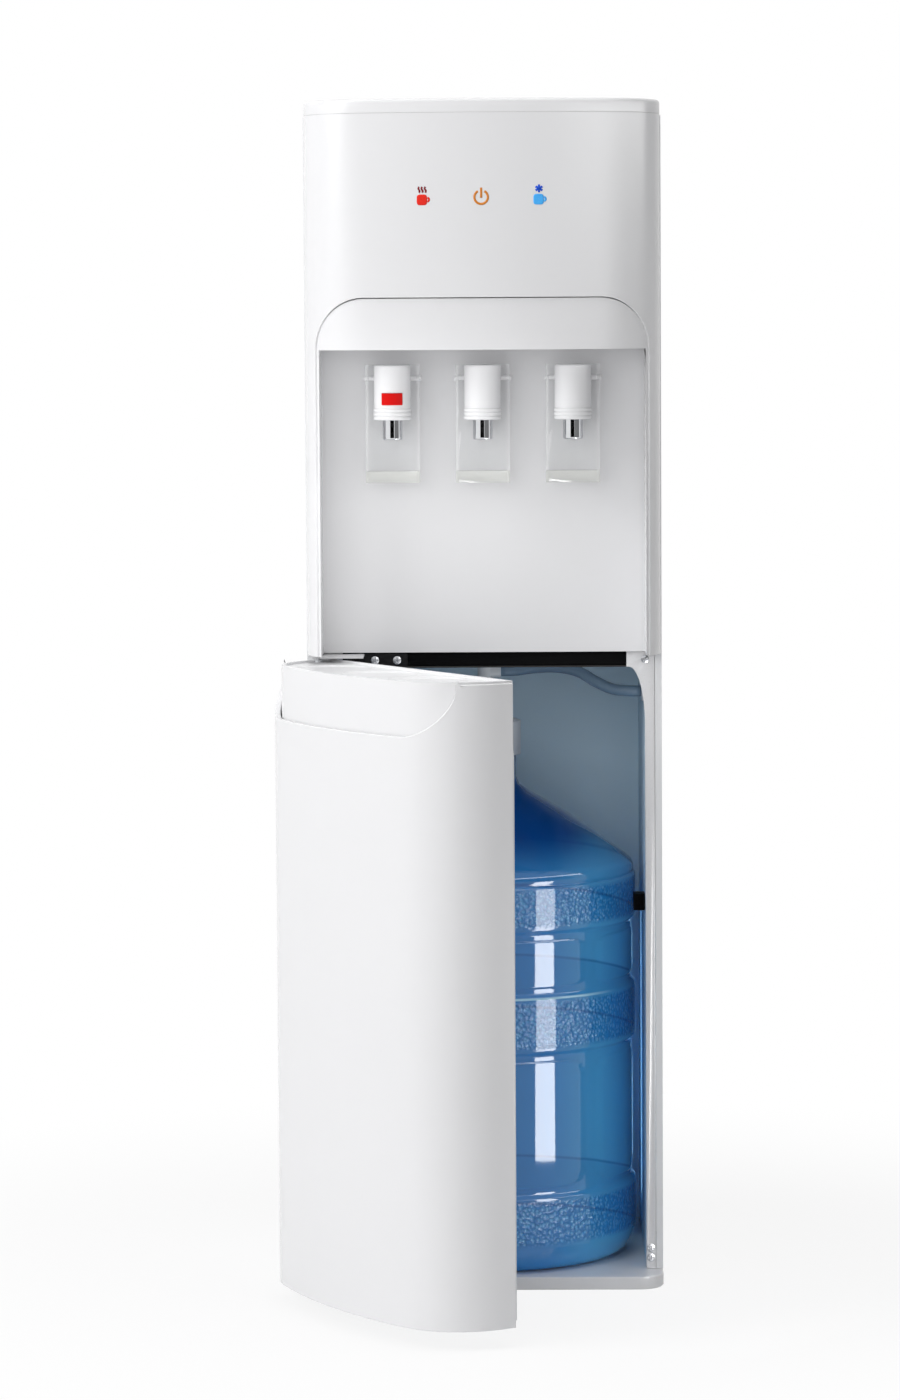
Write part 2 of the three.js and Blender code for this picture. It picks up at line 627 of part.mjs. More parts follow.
// A thin-walled round tank with a port in its lid.
function tank(radius, [z0, z1], place, segments) {
  const w = TANK_WALL;
  const profile = [
    [0, z0],
    [radius, z0],
    [radius, z1],
    [TANK_PORT, z1],
    [TANK_PORT, z1 - w],
    [radius - w, z1 - w],
    [radius - w, z0 + w],
    [0, z0 + w],
  ];
  return turned(profile, place, segments);
}

function coldTank() {
  const foot = COLD_TANK_FOOT;
  const body = tank(COLD_TANK_RADIUS, [foot, foot + COLD_TANK_HEIGHT], [0, tankY], 28);
  return piece("cold_tank", body, stainless);
}

function coldTankJacket() {
  const foot = TANK_SHELF_Z + STEEL + SEAT_GAP;
  const inner = COLD_TANK_RADIUS + SEAT_GAP;
  const outer = inner + JACKET_WALL;
  const profile = [
    [0, foot],
    [outer, foot],
    [outer, foot + JACKET_WALL + COLD_TANK_HEIGHT],
    [inner, foot + JACKET_WALL + COLD_TANK_HEIGHT],
    [inner, foot + JACKET_WALL],
    [0, foot + JACKET_WALL],
  ];
  return piece("cold_tank_jacket", turned(profile, [0, tankY], 28), foam);
}

function hotTank() {
  const place = [HOT_TANK_X, HOT_TANK_Y];
  const body = tank(HOT_TANK_RADIUS, [STAND, STAND + HOT_TANK_HEIGHT], place, 24);
  return piece("hot_tank", body, stainless);
}

function compressor() {
  const r = COMPRESSOR_RADIUS;
  const z = (share) => STAND + share * COMPRESSOR_HEIGHT;
  const profile = [
    [0, z(0.04)],
    [r * 0.75, z(0.05)],
    [r * 0.97, z(0.18)],
    [r, z(0.42)],
    [r * 1.04, z(0.45)],
    [r * 1.04, z(0.49)],
    [r, z(0.52)],
    [r * 0.96, z(0.78)],
    [r * 0.75, z(0.95)],
    [0, z(1)],
  ];
  const place = [-80, REAR - r - 20];
  const saddle = box(
    [place[0] - r - 6, place[0] + r + 6],
    [place[1] - r * 0.6, place[1] + r * 0.6],
    [STAND, z(0.06)],
  );
  return piece("compressor", turned(profile, place, 24).add(saddle), blackSteel);
}

function pump() {
  const z = STAND + PUMP_RADIUS + 4;
  const y = linerFront + PUMP_RADIUS + 4;
  const motor = rod("x", PUMP_RADIUS, [-PUMP_LENGTH / 2, PUMP_LENGTH / 2], [y, z]);
  const foot = box([-PUMP_LENGTH / 2, PUMP_LENGTH / 2], [y - PUMP_RADIUS, y + PUMP_RADIUS], [STAND, z - 12]);
  const head = box([PUMP_LENGTH / 2 - 1, PUMP_LENGTH / 2 + 24], [y - 20, y + 20], [z - 20, z + 20]);
  return piece("water_pump", motor.add(foot).add(head), blackPlastic);
}

// ---- Indicator lights inside the head ----
function indicatorBoard() {
  const y = [FRONT - BOARD_REACH, FRONT - BOARD_REACH + BOARD_THICK];
  const z = [BOARD_Z - BOARD_HEIGHT / 2, BOARD_Z + BOARD_HEIGHT / 2];
  let board = box([-BOARD_HALF, BOARD_HALF], y, z);
  board = board.add(box([-12, 12], [y[1] - 0.5, y[1] + 6], [BOARD_Z - 14, BOARD_Z - 5]));
  return piece("indicator_board", board, boardGreen);
}

function lightGuide() {
  const back = FRONT - BOARD_REACH - SEAT_GAP;
  const z = [BOARD_Z - 8, BOARD_Z + 8];
  let guide = box([-GUIDE_HALF, GUIDE_HALF], [back - GUIDE_DEPTH, back], z);
  for (const i of [-1, 0, 1]) {
    const prong = rod("y", GUIDE_PRONG, [back - GUIDE_DEPTH - 1.5, back - 1], [i * ICON_SPACING, BOARD_Z], 16);
    guide = guide.add(prong);
  }
  return piece("light_guide", guide, clearPlastic);
}

// ---- Taps ----
function tapBody(name, x, hasLock) {
  const ribTop = TAP_BOTTOM + RIB_COUNT * RIB_PITCH;
  const profile = [[0, TAP_BOTTOM]];
  for (let i = 0; i < RIB_COUNT; i++) {
    const z = TAP_BOTTOM + i * RIB_PITCH;
    profile.push([TAP_RADIUS + RIB_HEIGHT, z], [TAP_RADIUS + RIB_HEIGHT, z + RIB_PITCH - 1.2]);
    profile.push([TAP_RADIUS - 0.3, z + RIB_PITCH - 1], [TAP_RADIUS - 0.3, z + RIB_PITCH - 0.2]);
  }
  profile.push([TAP_RADIUS, ribTop], [TAP_RADIUS, TAP_TOP - 1], [TAP_RADIUS - 1, TAP_TOP], [0, TAP_TOP]);
  let body = turned(profile, [x, TAP_Y], 24)
    .add(rod("y", NECK_RADIUS, [TAP_Y, FRONT + NECK_TAIL], [x, NECK_Z]))
    .add(rod("x", TRUNNION_RADIUS, [x - TRUNNION_LENGTH / 2, x + TRUNNION_LENGTH / 2], leverPivot, 12))
    .subtract(rod("z", SPOUT_RADIUS + SEAT_GAP, [TAP_BOTTOM - 1, TAP_BOTTOM + SPOUT_SOCKET], [x, TAP_Y]));
  if (hasLock) {
    const side = BUTTON_WIDTH / 2 + SEAT_GAP;
    const rise = BUTTON_HEIGHT / 2 + SEAT_GAP;
    const front = TAP_Y - TAP_RADIUS;
    body = body.subtract(
      box([x - side, x + side], [front - 5, front + BUTTON_POCKET], [BUTTON_Z - rise, BUTTON_Z + rise]),
    );
  }
  return piece(name, body, whitePlastic);
}

function spout(name, x) {
  const top = TAP_BOTTOM + SPOUT_SOCKET - SEAT_GAP;
  const tubeBody = rod("z", SPOUT_RADIUS, [SPOUT_BOTTOM, top], [x, TAP_Y]);
  const bore = rod("z", SPOUT_BORE, [SPOUT_BOTTOM - 1, SPOUT_BOTTOM + SPOUT_BORE_DEPTH], [x, TAP_Y], 16);
  return piece(name, tubeBody.subtract(bore), chromed);
}

const leverPivot = [FRONT - LEVER_PIVOT_REACH, LEVER_PIVOT_Z];

function lever(name, x) {
  const back = FRONT - LEVER_BACK;
  const plateFront = back - LEVER_THICK;
  const span = [LEVER_BOTTOM, TAP_TOP + SEAT_GAP];
  const plate = box([x - LEVER_HALF, x + LEVER_HALF], [plateFront, back], span);
  const cheek = (side) =>
    box(
      [x + side * LEVER_HALF, x + side * (LEVER_HALF - LEVER_THICK)].sort((a, b) => a - b),
      [back - LEVER_SIDE_DEPTH, back],
      span,
    );
  const pad = box(
    [x - LEVER_HALF, x + LEVER_HALF],
    [plateFront - LEVER_PAD_REACH, back],
    [LEVER_BOTTOM, LEVER_BOTTOM + LEVER_PAD_HEIGHT],
  );
  const window = box(
    [x - LEVER_WINDOW_HALF, x + LEVER_WINDOW_HALF],
    [plateFront - 1, back + 1],
    [NECK_Z - LEVER_WINDOW_DROP, NECK_Z + LEVER_WINDOW_DROP],
  );
  const holes = rod(
    "x",
    TRUNNION_RADIUS + SEAT_GAP,
    [x - LEVER_HALF - 1, x + LEVER_HALF + 1],
    leverPivot,
    12,
  );
  const body = plate.add(cheek(-1)).add(cheek(1)).add(pad).subtract(window).subtract(holes);
  return piece(name, body, clearPlastic);
}

function lockButton(x) {
  const front = TAP_Y - TAP_RADIUS - BUTTON_PROUD;
  const blank = box(
    [x - BUTTON_WIDTH / 2, x + BUTTON_WIDTH / 2],
    [front - 1, front + BUTTON_LENGTH],
    [BUTTON_Z - BUTTON_HEIGHT / 2, BUTTON_Z + BUTTON_HEIGHT / 2],
  );
  const round = rod("z", TAP_RADIUS + BUTTON_PROUD, [BUTTON_Z - 20, BUTTON_Z + 20], [x, TAP_Y], 36);
  return piece("lock_button", blank.intersect(round), redPlastic);
}

// ---- Door, modelled shut ----
function doorSkin() {
  const back = DOOR_BACK - SKIN_BACK_STEP;
  const span = [DOOR_BOTTOM, SKIN_TOP];
  const cut = hangingArch(ARCH_HALF, CAP_SEAM, SKIN_TOP + 10, ARCH_CORNER_X, ARCH_CORNER_Z - 3);
  const skin = raise(bowedPlan(0, back), span)
    .subtract(raise(bowedPlan(SHELL, back + 10), [span[0] - 1, span[1] + 1]))
    .subtract(carry(cut, [APEX - 10, FRONT]));
  return piece("door_skin", skin, whitePlastic);
}

function doorLiner() {
  const top = CAP_BOTTOM - SEAT_GAP;
  const half = HALF - LINER_INSET;
  const plan = new THREE.Shape();
  plan.moveTo(-half, DOOR_BACK - LINER_THICK);
  plan.lineTo(half, DOOR_BACK - LINER_THICK);
  plan.lineTo(half, DOOR_BACK - LINER_CHAMFER * 0.8);
  plan.lineTo(half - LINER_CHAMFER, DOOR_BACK);
  plan.lineTo(-half + LINER_CHAMFER, DOOR_BACK);
  plan.lineTo(-half, DOOR_BACK - LINER_CHAMFER * 0.8);
  plan.closePath();
  const flange = raise(plan, [LINER_BOTTOM, top]);
  const pan = raise(
    bowedPlan(RECESS_INSET - MOULDING, DOOR_BACK - LINER_THICK / 2),
    [LINER_BOTTOM, RECESS_TOP + MOULDING],
  );
  // The recess takes the bottle's front and is open below, where the bottle meets the base.
  const recess = raise(bowedPlan(RECESS_INSET, DOOR_BACK + 5), [0, RECESS_TOP]);
  const boss = rod("z", BOSS_RADIUS, [BOSS_BOTTOM, BOSS_BOTTOM + BOSS_LENGTH], [HINGE.x, HINGE.y]);
  const web = box(
    [HINGE.x - MOULDING, HINGE.x + MOULDING],
    [HINGE.y, DOOR_BACK - 1],
    [LINER_BOTTOM, BOSS_BOTTOM + BOSS_LENGTH],
  );
  const bore = rod("z", BUSH_RADIUS + SEAT_GAP, [0, BOSS_BOTTOM + PIN_LENGTH + 4], [HINGE.x, HINGE.y]);
  const body = flange.add(pan).subtract(recess).add(boss).add(web).subtract(bore);
  return piece("door_liner", body, innerWhite);
}

function doorCap() {
  const floor = CAP_TOP - TRAY_DROP;
  let cap = raise(bowedPlan(CAP_INSET, DOOR_BACK), [CAP_BOTTOM, CAP_TOP])
    .subtract(raise(bowedPlan(CAP_INSET + CAP_RIM, DOOR_BACK - CAP_RIM), [floor, CAP_TOP + 1]))
    .subtract(
      raise(bowedPlan(CAP_INSET + CAP_WALL, DOOR_BACK - CAP_WALL), [0, floor - TRAY_THICK]),
    );
  for (const i of [-1, 0, 1]) {
    const place = [i * TAP_SPACING, DOOR_BACK - CUP_SET];
    cap = cap.subtract(rod("z", CUP_RADIUS, [floor - CUP_DEPTH, floor + 1], place, 32));
  }
  const place = [HINGE.x, HINGE.y];
  const boss = rod("z", BOSS_RADIUS, [CAP_TOP - PIN_LENGTH, CAP_TOP], place);
  cap = cap
    .add(boss)
    .subtract(rod("z", BUSH_RADIUS + SEAT_GAP, [CAP_BOTTOM - 1, CAP_TOP + 1], place));
  return piece("door_cap", cap, whitePlastic);
}

// ---- Hinges ----
const EAR_HALF = 5;
const EAR_REACH = 10;
const LEAF_RANGE = [-122, -68];
const EAR_JOIN = 16; // width over which the ear runs on into the leaf
const LEAF_BOTTOM = OPENING_TOP + BAR_LIP + SEAT_GAP;

function upperBracket() {
  const leafBack = FRONT + BAR_SET - SEAT_GAP;
  const leaf = box(LEAF_RANGE, [leafBack - 1.5, leafBack], [LEAF_BOTTOM, EAR_Z + BRACKET_THICK]);
  const ear = box(
    [HINGE.x - EAR_HALF, LEAF_RANGE[0] + EAR_JOIN],
    [HINGE.y - EAR_REACH, FRONT - SEAT_GAP],
    [EAR_Z, EAR_Z + BRACKET_THICK],
  );
  let bracket = leaf.add(ear);
  bracket = bracket.subtract(
    rod("z", PIN_RADIUS + SEAT_GAP, [EAR_Z - 1, EAR_Z + 5], [HINGE.x, HINGE.y], 16),
  );
  for (const [x, z] of hingeScrews)
    bracket = bracket.subtract(rod("y", SCREW_SHANK + SEAT_GAP, [FRONT - 5, FRONT + 5], [x, z], 12));
  return piece("upper_hinge_bracket", bracket, galvanised);
}

const LOWER_PLATE = BASE_THICK + SEAT_GAP;

function lowerBracket() {
  const x = [HINGE.x - EAR_HALF, HINGE.x + 2 * EAR_REACH];
  const y = [HINGE.y - EAR_REACH, FRONT - SEAT_GAP];
  const plate = box(x, y, [LOWER_PLATE, LOWER_PLATE + BRACKET_THICK]);
  const hole = rod("z", PIN_RADIUS + SEAT_GAP, [0, 50], [HINGE.x, HINGE.y], 16);
  return piece("lower_hinge_bracket", plate.subtract(hole), galvanised);
}

function hingePins() {
  const place = [HINGE.x, HINGE.y];
  const upper = rod("z", PIN_RADIUS, [EAR_Z + BRACKET_THICK - PIN_LENGTH, EAR_Z + BRACKET_THICK], place, 16);
  const lower = rod("z", PIN_RADIUS, [LOWER_PLATE, LOWER_PLATE + PIN_LENGTH], place, 16);
  return [
    piece("upper_hinge_pin", upper, stainless),
    piece("lower_hinge_pin", lower, stainless),
  ];
}

// A nylon bush, with or without the flange that carries the door's weight.
function bush(name, [z0, z1], flangeZ) {
  const place = [HINGE.x, HINGE.y];
  let body = rod("z", BUSH_RADIUS, [z0, z1], place, 20);
  if (flangeZ) body = body.add(rod("z", BUSH_FLANGE, flangeZ, place, 20));
  body = body.subtract(rod("z", PIN_RADIUS + SEAT_GAP, [z0 - 9, z1 + 9], place, 16));
  return piece(name, body, innerWhite);
}

// ---- Bottle and its probe ----
// Outer profile from the foot up: shares of the full radius and of the height.
const WAIST = 0.973; // between the ring bands
const FOOT_END = 0.04;
const NECK_START = 0.902;
const bottleProfile = [
  [0.0, 0.0188],
  [0.55, 0.0146],
  [0.8, 0],
  [0.865, 0],
  [0.92, 0.0042],
  [0.965, 0.0167],
  [0.985, 0.0334],
  [0.995, 0.0418],
  [1.0, 0.048],
  [1.0, 0.137],
  [WAIST, 0.1433],
  [WAIST, 0.4097],
  [1.0, 0.416],
  [1.0, 0.511],
  [WAIST, 0.5173],
  [WAIST, 0.635],
  [1.0, 0.6413],
  [1.0, 0.7186],
  [0.975, 0.7432],
  [0.904, 0.7599],
  [0.704, 0.8038],
  [0.5, 0.8413],
  [0.3, 0.8727],
  [0.225, 0.8873],
];

function bottle() {
  const neckShare = NECK_OUTER / BOTTLE_RADIUS;
  const scale = ([share, rise]) => [share * BOTTLE_RADIUS, BOTTLE_FOOT + rise * BOTTLE_HEIGHT];
  const outer = [...bottleProfile.map(scale), scale([neckShare, NECK_START]), [NECK_OUTER, BOTTLE_TOP]];
  const lining = bottleProfile
    .filter(([share]) => share < 1)
    .reverse()
    .map(([share, rise]) => [
      Math.max(share * BOTTLE_RADIUS - 1.2 * BOTTLE_WALL, 0),
      BOTTLE_FOOT + rise * BOTTLE_HEIGHT + (rise < FOOT_END ? 2 : -0.5) * BOTTLE_WALL,
    ]);
  const inner = [
    [NECK_OUTER - BOTTLE_WALL, BOTTLE_TOP],
    [NECK_OUTER - BOTTLE_WALL, BOTTLE_FOOT + NECK_START * BOTTLE_HEIGHT - BOTTLE_WALL / 2],
    ...lining,
  ];
  return piece("water_bottle", turned([...outer, ...inner], [0, BOTTLE_Y], 36), bottleBlue);
}

const capTop = BOTTLE_TOP + SEAT_GAP + PROBE_CAP_TOP;
const outletZ = NOZZLE_TOP - NOZZLE_AXIS_DROP;

function probeCap() {
  const inner = NECK_OUTER + SEAT_GAP;
  const profile = [
    [0, NOZZLE_TOP - 4],
    [TUBE_RADIUS + SEAT_GAP, NOZZLE_TOP - 4],
    [TUBE_RADIUS + SEAT_GAP, capTop - PROBE_CAP_TOP],
    [inner, capTop - PROBE_CAP_TOP],
    [inner, capTop - PROBE_CAP_HEIGHT],
    [PROBE_CAP_RADIUS, capTop - PROBE_CAP_HEIGHT],
    [PROBE_CAP_RADIUS, capTop],
    [NOZZLE_RADIUS + 4, capTop + 8],
    [NOZZLE_RADIUS, capTop + 12],
    [NOZZLE_RADIUS, NOZZLE_TOP - 2],
    [NOZZLE_RADIUS - 2, NOZZLE_TOP],
    [0, NOZZLE_TOP],
  ];
  const outlet = rod("x", NOZZLE_RADIUS - 1, [0, NOZZLE_REACH], [BOTTLE_Y, outletZ], 20);
  const body = turned(profile, [0, BOTTLE_Y], 24).add(
    outlet.subtract(rod("z", TUBE_RADIUS + SEAT_GAP, [0, NOZZLE_TOP - 4], [0, BOTTLE_Y], 28)),
  );
  return piece("probe_cap", body, innerWhite);
}

function suctionTube() {
  const foot = BOTTLE_FOOT + 9 + 2 * BOTTLE_WALL + TUBE_FLOOR_GAP;
  return piece("suction_tube", rod("z", TUBE_RADIUS, [foot, NOZZLE_TOP - 5], [0, BOTTLE_Y], 16), innerWhite);
}


function suctionHose() {
  const y = (set) => FRONT + set;
  const end = OPENING_HALF - 2 - SEAT_GAP;
  const route = [
    [NOZZLE_REACH + SEAT_GAP, y(BOTTLE_SET), outletZ],
    [26, y(BOTTLE_SET), outletZ + 0.2],
    [46, y(99), outletZ + 3],
    [66, y(89), outletZ + 4],
    [84, y(77), outletZ + 1],
    [99, y(66), FITTING_Z + 7],
    [114, y(56), FITTING_Z + 1],
    [end - 10, y(FITTING_SET), FITTING_Z],
    [end, y(FITTING_SET), FITTING_Z],
  ].map((p) => new THREE.Vector3(...p));
  return piece("suction_hose", tube(route, HOSE_RADIUS, 30), hoseBlue);
}

function hoseFitting() {
  const place = [FRONT + FITTING_SET, FITTING_Z];
  const body = rod("x", FITTING_RADIUS, [OPENING_HALF - 2, fittingX], place, 20)
    .add(rod("x", FITTING_FLANGE, [OPENING_HALF - 2, OPENING_HALF - SEAT_GAP], place, 20))
    .add(rod("z", FITTING_RADIUS - 1, [FITTING_Z, SHELF_TOP + 4], [fittingX, FRONT + FITTING_SET], 20));
  return piece("hose_fitting", body, innerWhite);
}

// ---- Rear fittings ----
function condenser() {
  const y = REAR_FACE + COIL_STANDOFF;
  const turn = COIL_PITCH / 2;
  const points = [];
  for (let run = 0; run < COIL_RUNS; run++) {
    const side = run % 2 === 0 ? 1 : -1;
    const z = COIL_BOTTOM + run * COIL_PITCH;
    const straight = COIL_HALF - turn;
    for (const share of [-1, -0.5, 0, 0.5, 1]) points.push([side * share * straight, z]);
    if (run < COIL_RUNS - 1)
      for (const angle of [-60, -30, 0, 30, 60]) {
        const a = THREE.MathUtils.degToRad(angle);
        points.push([side * (straight + turn * Math.cos(a)), z + turn + turn * Math.sin(a)]);
      }
  }
  const route = points.map(([x, z]) => new THREE.Vector3(x, y, z));
  let coil = tube(route, COIL_TUBE, 117, 6);
  const top = COIL_BOTTOM + (COIL_RUNS - 1) * COIL_PITCH;
  const reach = COIL_HALF - COIL_PITCH / 2 - 6;
  const wireY = [y - COIL_TUBE - WIRE / 2, y - COIL_TUBE + WIRE / 2];
  for (let i = 0; i < COIL_WIRES; i++) {
    const x = -reach + (2 * reach * i) / (COIL_WIRES - 1);
    coil = coil.add(box([x - WIRE / 2, x + WIRE / 2], wireY, [COIL_BOTTOM - 8, top + 8]));
  }
  for (const x of [-reach, reach])
    for (const z of [COIL_BOTTOM + 20, top - 20])
      coil = coil.add(box([x - 4, x + 4], [REAR_FACE + SEAT_GAP, wireY[1]], [z - 4, z + 4]));
  return piece("condenser", coil, blackSteel);
}

const GLAND_FLANGE = 12;
const CORD_BORE = 3.8;

function powerInlet() {
  const place = [GLAND_X, GLAND_Z];
  const face = REAR_FACE + SEAT_GAP;
  const body = rod("y", GLAND_RADIUS, [REAR - 8, face + 1], place)
    .add(rod("y", GLAND_FLANGE, [face, face + 4], place))
    .add(rod("y", GLAND_RADIUS - 1, [face + 1, face + 14], place))
    .subtract(rod("y", CORD_BORE, [REAR - 20, face + 30], place, 16));
  return piece("power_inlet", body, blackPlastic);
}

const drainEnd = REAR_FACE + DRAIN_CAP_LENGTH;

function drainPipe() {
  const start = HOT_TANK_Y + HOT_TANK_RADIUS + SEAT_GAP + 0.6;
  const pipe = rod("y", DRAIN_RADIUS, [start, drainEnd - 2], [DRAIN_X, DRAIN_Z], 20);
  return piece("drain_pipe", pipe, stainless);
}

function drainCap() {
  const place = [DRAIN_X, DRAIN_Z];
  const start = REAR_FACE + 2;
  let cap = rod("y", DRAIN_CAP_RADIUS, [start, drainEnd + 1.5], place, 12);
  cap = cap.subtract(rod("y", DRAIN_RADIUS + SEAT_GAP, [start - 1, drainEnd - 1.5], place, 20));
  return piece("drain_cap", cap, blackPlastic);
}

const SWITCH_PLATE = [64, 34];
const switchFace = REAR_FACE + SEAT_GAP;
const rockerGap = 0.4;
const rockerPlaces = [-1, 1].map((side) => SWITCH_X + (side * ROCKER_SPACING) / 2);

function switchPlate() {
  const [w, h] = SWITCH_PLATE;
  let plate = box([SWITCH_X - w / 2, SWITCH_X + w / 2], [switchFace, switchFace + 2], [SWITCH_Z - h / 2, SWITCH_Z + h / 2]);
  const side = ROCKER[0] / 2 + rockerGap;
  const rise = ROCKER[2] / 2 + 1.4;
  for (const x of rockerPlaces)
    plate = plate.subtract(
      box([x - side, x + side], [REAR, switchFace + 5], [SWITCH_Z - rise, SWITCH_Z + rise]),
    );
  return piece("switch_plate", plate, blackPlastic);
}

function rocker(name, x, material) {
  const [w, d, h] = ROCKER;
  const mesh = piece(name, box([-w / 2, w / 2], [-d / 2, d / 2], [-h / 2, h / 2]), material);
  mesh.rotation.x = THREE.MathUtils.degToRad(ROCKER_TILT);
  mesh.position.set(x, switchFace + 1, SWITCH_Z);
  return mesh;
}

// ---- Assembly ----
const cooler = new THREE.Group();
cooler.add(basePlate(), ...feet());
cooler.add(sidePanel(-1), sidePanel(1), rearPanel());
cooler.add(topCover(), headCover(), dispensingPanel());
cooler.add(frontFrame(), crossbarCover(), compartmentLiner(), doorCatch());
cooler.add(compressorShelf(), tankShelf(), coldTank(), coldTankJacket(), hotTank());
cooler.add(compressor(), pump(), indicatorBoard(), lightGuide());

const taps = [
  ["hot", -TAP_SPACING],
  ["normal", 0],
  ["cold", TAP_SPACING],
];
for (const [name, x] of taps) {
  cooler.add(tapBody(`${name}_tap`, x, name === "hot"));
  cooler.add(spout(`${name}_spout`, x), lever(`${name}_lever`, x));
}
cooler.add(lockButton(-TAP_SPACING));

cooler.add(upperBracket(), lowerBracket(), ...hingePins());
frameScrews.forEach((place, i) => cooler.add(screw(`frame_screw_${i + 1}`, place, FRONT)));
const leafFace = FRONT + BAR_SET - SEAT_GAP - 1.5;
hingeScrews.forEach((place, i) => cooler.add(screw(`hinge_screw_${i + 1}`, place, leafFace)));

cooler.add(bottle(), probeCap(), suctionTube(), suctionHose(), hoseFitting());
cooler.add(condenser(), powerInlet(), drainPipe(), drainCap(), switchPlate());
cooler.add(rocker("hot_switch", rockerPlaces[0], redPlastic));
cooler.add(rocker("cold_switch", rockerPlaces[1], greenPlastic));

// The door is modelled shut and swung open about its hinge.
const door = new THREE.Group();
const shut = new THREE.Group();
door.position.copy(HINGE);
door.rotation.z = -THREE.MathUtils.degToRad(DOOR_ANGLE);
shut.position.copy(HINGE).negate();
shut.add(doorSkin(), doorLiner(), doorCap());
shut.add(bush("upper_bush", [CAP_TOP - BUSH_LENGTH, CAP_TOP + 0.5]));
shut.add(bush("lower_bush", [BOSS_BOTTOM - 1, BOSS_BOTTOM + BUSH_LENGTH], [LOWER_PLATE + BRACKET_THICK + SEAT_GAP, BOSS_BOTTOM - SEAT_GAP]));
door.add(shut);
cooler.add(door);

export default cooler;
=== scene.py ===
import json
import math

import bmesh
import bpy
import numpy as np
from mathutils import Matrix, Vector


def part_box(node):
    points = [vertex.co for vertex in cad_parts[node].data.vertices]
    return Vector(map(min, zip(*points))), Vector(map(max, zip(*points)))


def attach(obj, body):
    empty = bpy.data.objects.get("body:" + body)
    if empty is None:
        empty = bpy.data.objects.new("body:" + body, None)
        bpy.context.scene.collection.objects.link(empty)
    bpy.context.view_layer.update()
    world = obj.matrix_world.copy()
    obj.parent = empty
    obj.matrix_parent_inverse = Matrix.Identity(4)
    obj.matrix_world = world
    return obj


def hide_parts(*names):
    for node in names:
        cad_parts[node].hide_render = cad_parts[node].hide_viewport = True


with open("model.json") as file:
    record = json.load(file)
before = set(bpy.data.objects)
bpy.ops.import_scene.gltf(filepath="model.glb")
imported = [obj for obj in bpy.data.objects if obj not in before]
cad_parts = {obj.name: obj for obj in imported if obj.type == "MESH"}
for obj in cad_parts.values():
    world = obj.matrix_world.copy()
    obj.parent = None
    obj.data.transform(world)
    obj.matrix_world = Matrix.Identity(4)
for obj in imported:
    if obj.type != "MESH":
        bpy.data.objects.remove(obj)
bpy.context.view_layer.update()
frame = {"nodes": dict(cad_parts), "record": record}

# ---- Head cover ----
# The bowed cover over the upper half of the cooler, an arch cut out of its front for the taps.
# It is one glossy white ABS moulding 3 mm thick, clipped to the steel sides from within, with
# three small indicator prints in a row over the arch.

MM = 0.001  # shapes are worked out in millimetres and put in their meshes in metres


def extent(node):
    """Lowest and highest corner of a CAD node, in millimetres."""
    low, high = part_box(node)
    return np.array(low) / MM, np.array(high) / MM


FRONT = extent("front_frame")[0][1]  # the pillars' front face
HEAD_LOW, HEAD_HIGH = extent("head_cover")
HEAD_HALF = HEAD_HIGH[0]
CORNER_RADIUS = 65
BOW_RADIUS = 493
CORNER_X = HEAD_HALF - CORNER_RADIUS
SIDE_REACH = 21  # of the straight sides, ahead of the pillars
SIDE_STEPS = 4
TANGENT = FRONT - SIDE_REACH
BOW_ANGLE = math.asin(CORNER_X / (BOW_RADIUS - CORNER_RADIUS))
BOW_CENTRE = TANGENT + math.sqrt((BOW_RADIUS - CORNER_RADIUS) ** 2 - CORNER_X**2)
HEAD_WALL = 3
HEAD_GAP = 0.3  # behind the head, off the pillars
LID_LAP = 0.2  # the head's top edge over the lid's foot
LEG_WIDTH = 10  # of the head beside its arch
ARCH_HALF = HEAD_HALF - LEG_WIDTH
ARCH_CORNER = (42, 45)  # half axes of the elliptical shoulders
ARCH_GAP = 0.5  # between the arch and the panel in it
ARCH_SPRING = extent("dispensing_panel")[1][2] + ARCH_GAP - ARCH_CORNER[1]


def bow_y(x, inset=0.0):
    """Y of the bowed front at X, drawn in by an inset: a wide arc in the middle, and a corner
    arc at each side that meets it without a kink."""
    away = np.minimum(np.abs(x), HEAD_HALF - inset)
    bow, corner = BOW_RADIUS - inset, CORNER_RADIUS - inset
    across = np.clip(away - CORNER_X, 0, corner)
    middle = BOW_CENTRE - np.sqrt(bow**2 - np.minimum(away, bow) ** 2)
    side = TANGENT - np.sqrt(corner**2 - across**2)
    return np.where(away <= bow * math.sin(BOW_ANGLE), middle, side)


def grid_faces(rows, columns, around=False):
    """Quads between neighbouring points of a grid, the last column joined to the first if it
    goes around. They face the side from which rows go up and columns go right."""
    last = columns if around else columns - 1
    row, column = np.meshgrid(np.arange(rows - 1), np.arange(last), indexing="ij")
    right = (column + 1) % columns
    corners = [row * columns + column, row * columns + right]
    corners += [(row + 1) * columns + right, (row + 1) * columns + column]
    return np.stack(corners, axis=-1).reshape(-1, 4)


def make_mesh(name, patches):
    """One object from patches of (points, faces): their points joined where they meet."""
    points, faces, start = [], [], 0
    for patch, quads in patches:
        points.append(np.asarray(patch, float).reshape(-1, 3))
        quads = quads if isinstance(quads, list) else quads.tolist()
        faces += [[corner + start for corner in quad] for quad in quads]
        start += len(points[-1])
    mesh = bpy.data.meshes.new(name)
    mesh.from_pydata((np.concatenate(points) * MM).tolist(), [], faces)
    shape = bmesh.new()
    shape.from_mesh(mesh)
    bmesh.ops.remove_doubles(shape, verts=shape.verts, dist=0.01 * MM)
    shape.to_mesh(mesh)
    shape.free()
    mesh.update()
    mesh.shade_smooth()
    made = bpy.data.objects.new(name, mesh)
    bpy.context.collection.objects.link(made)
    return made


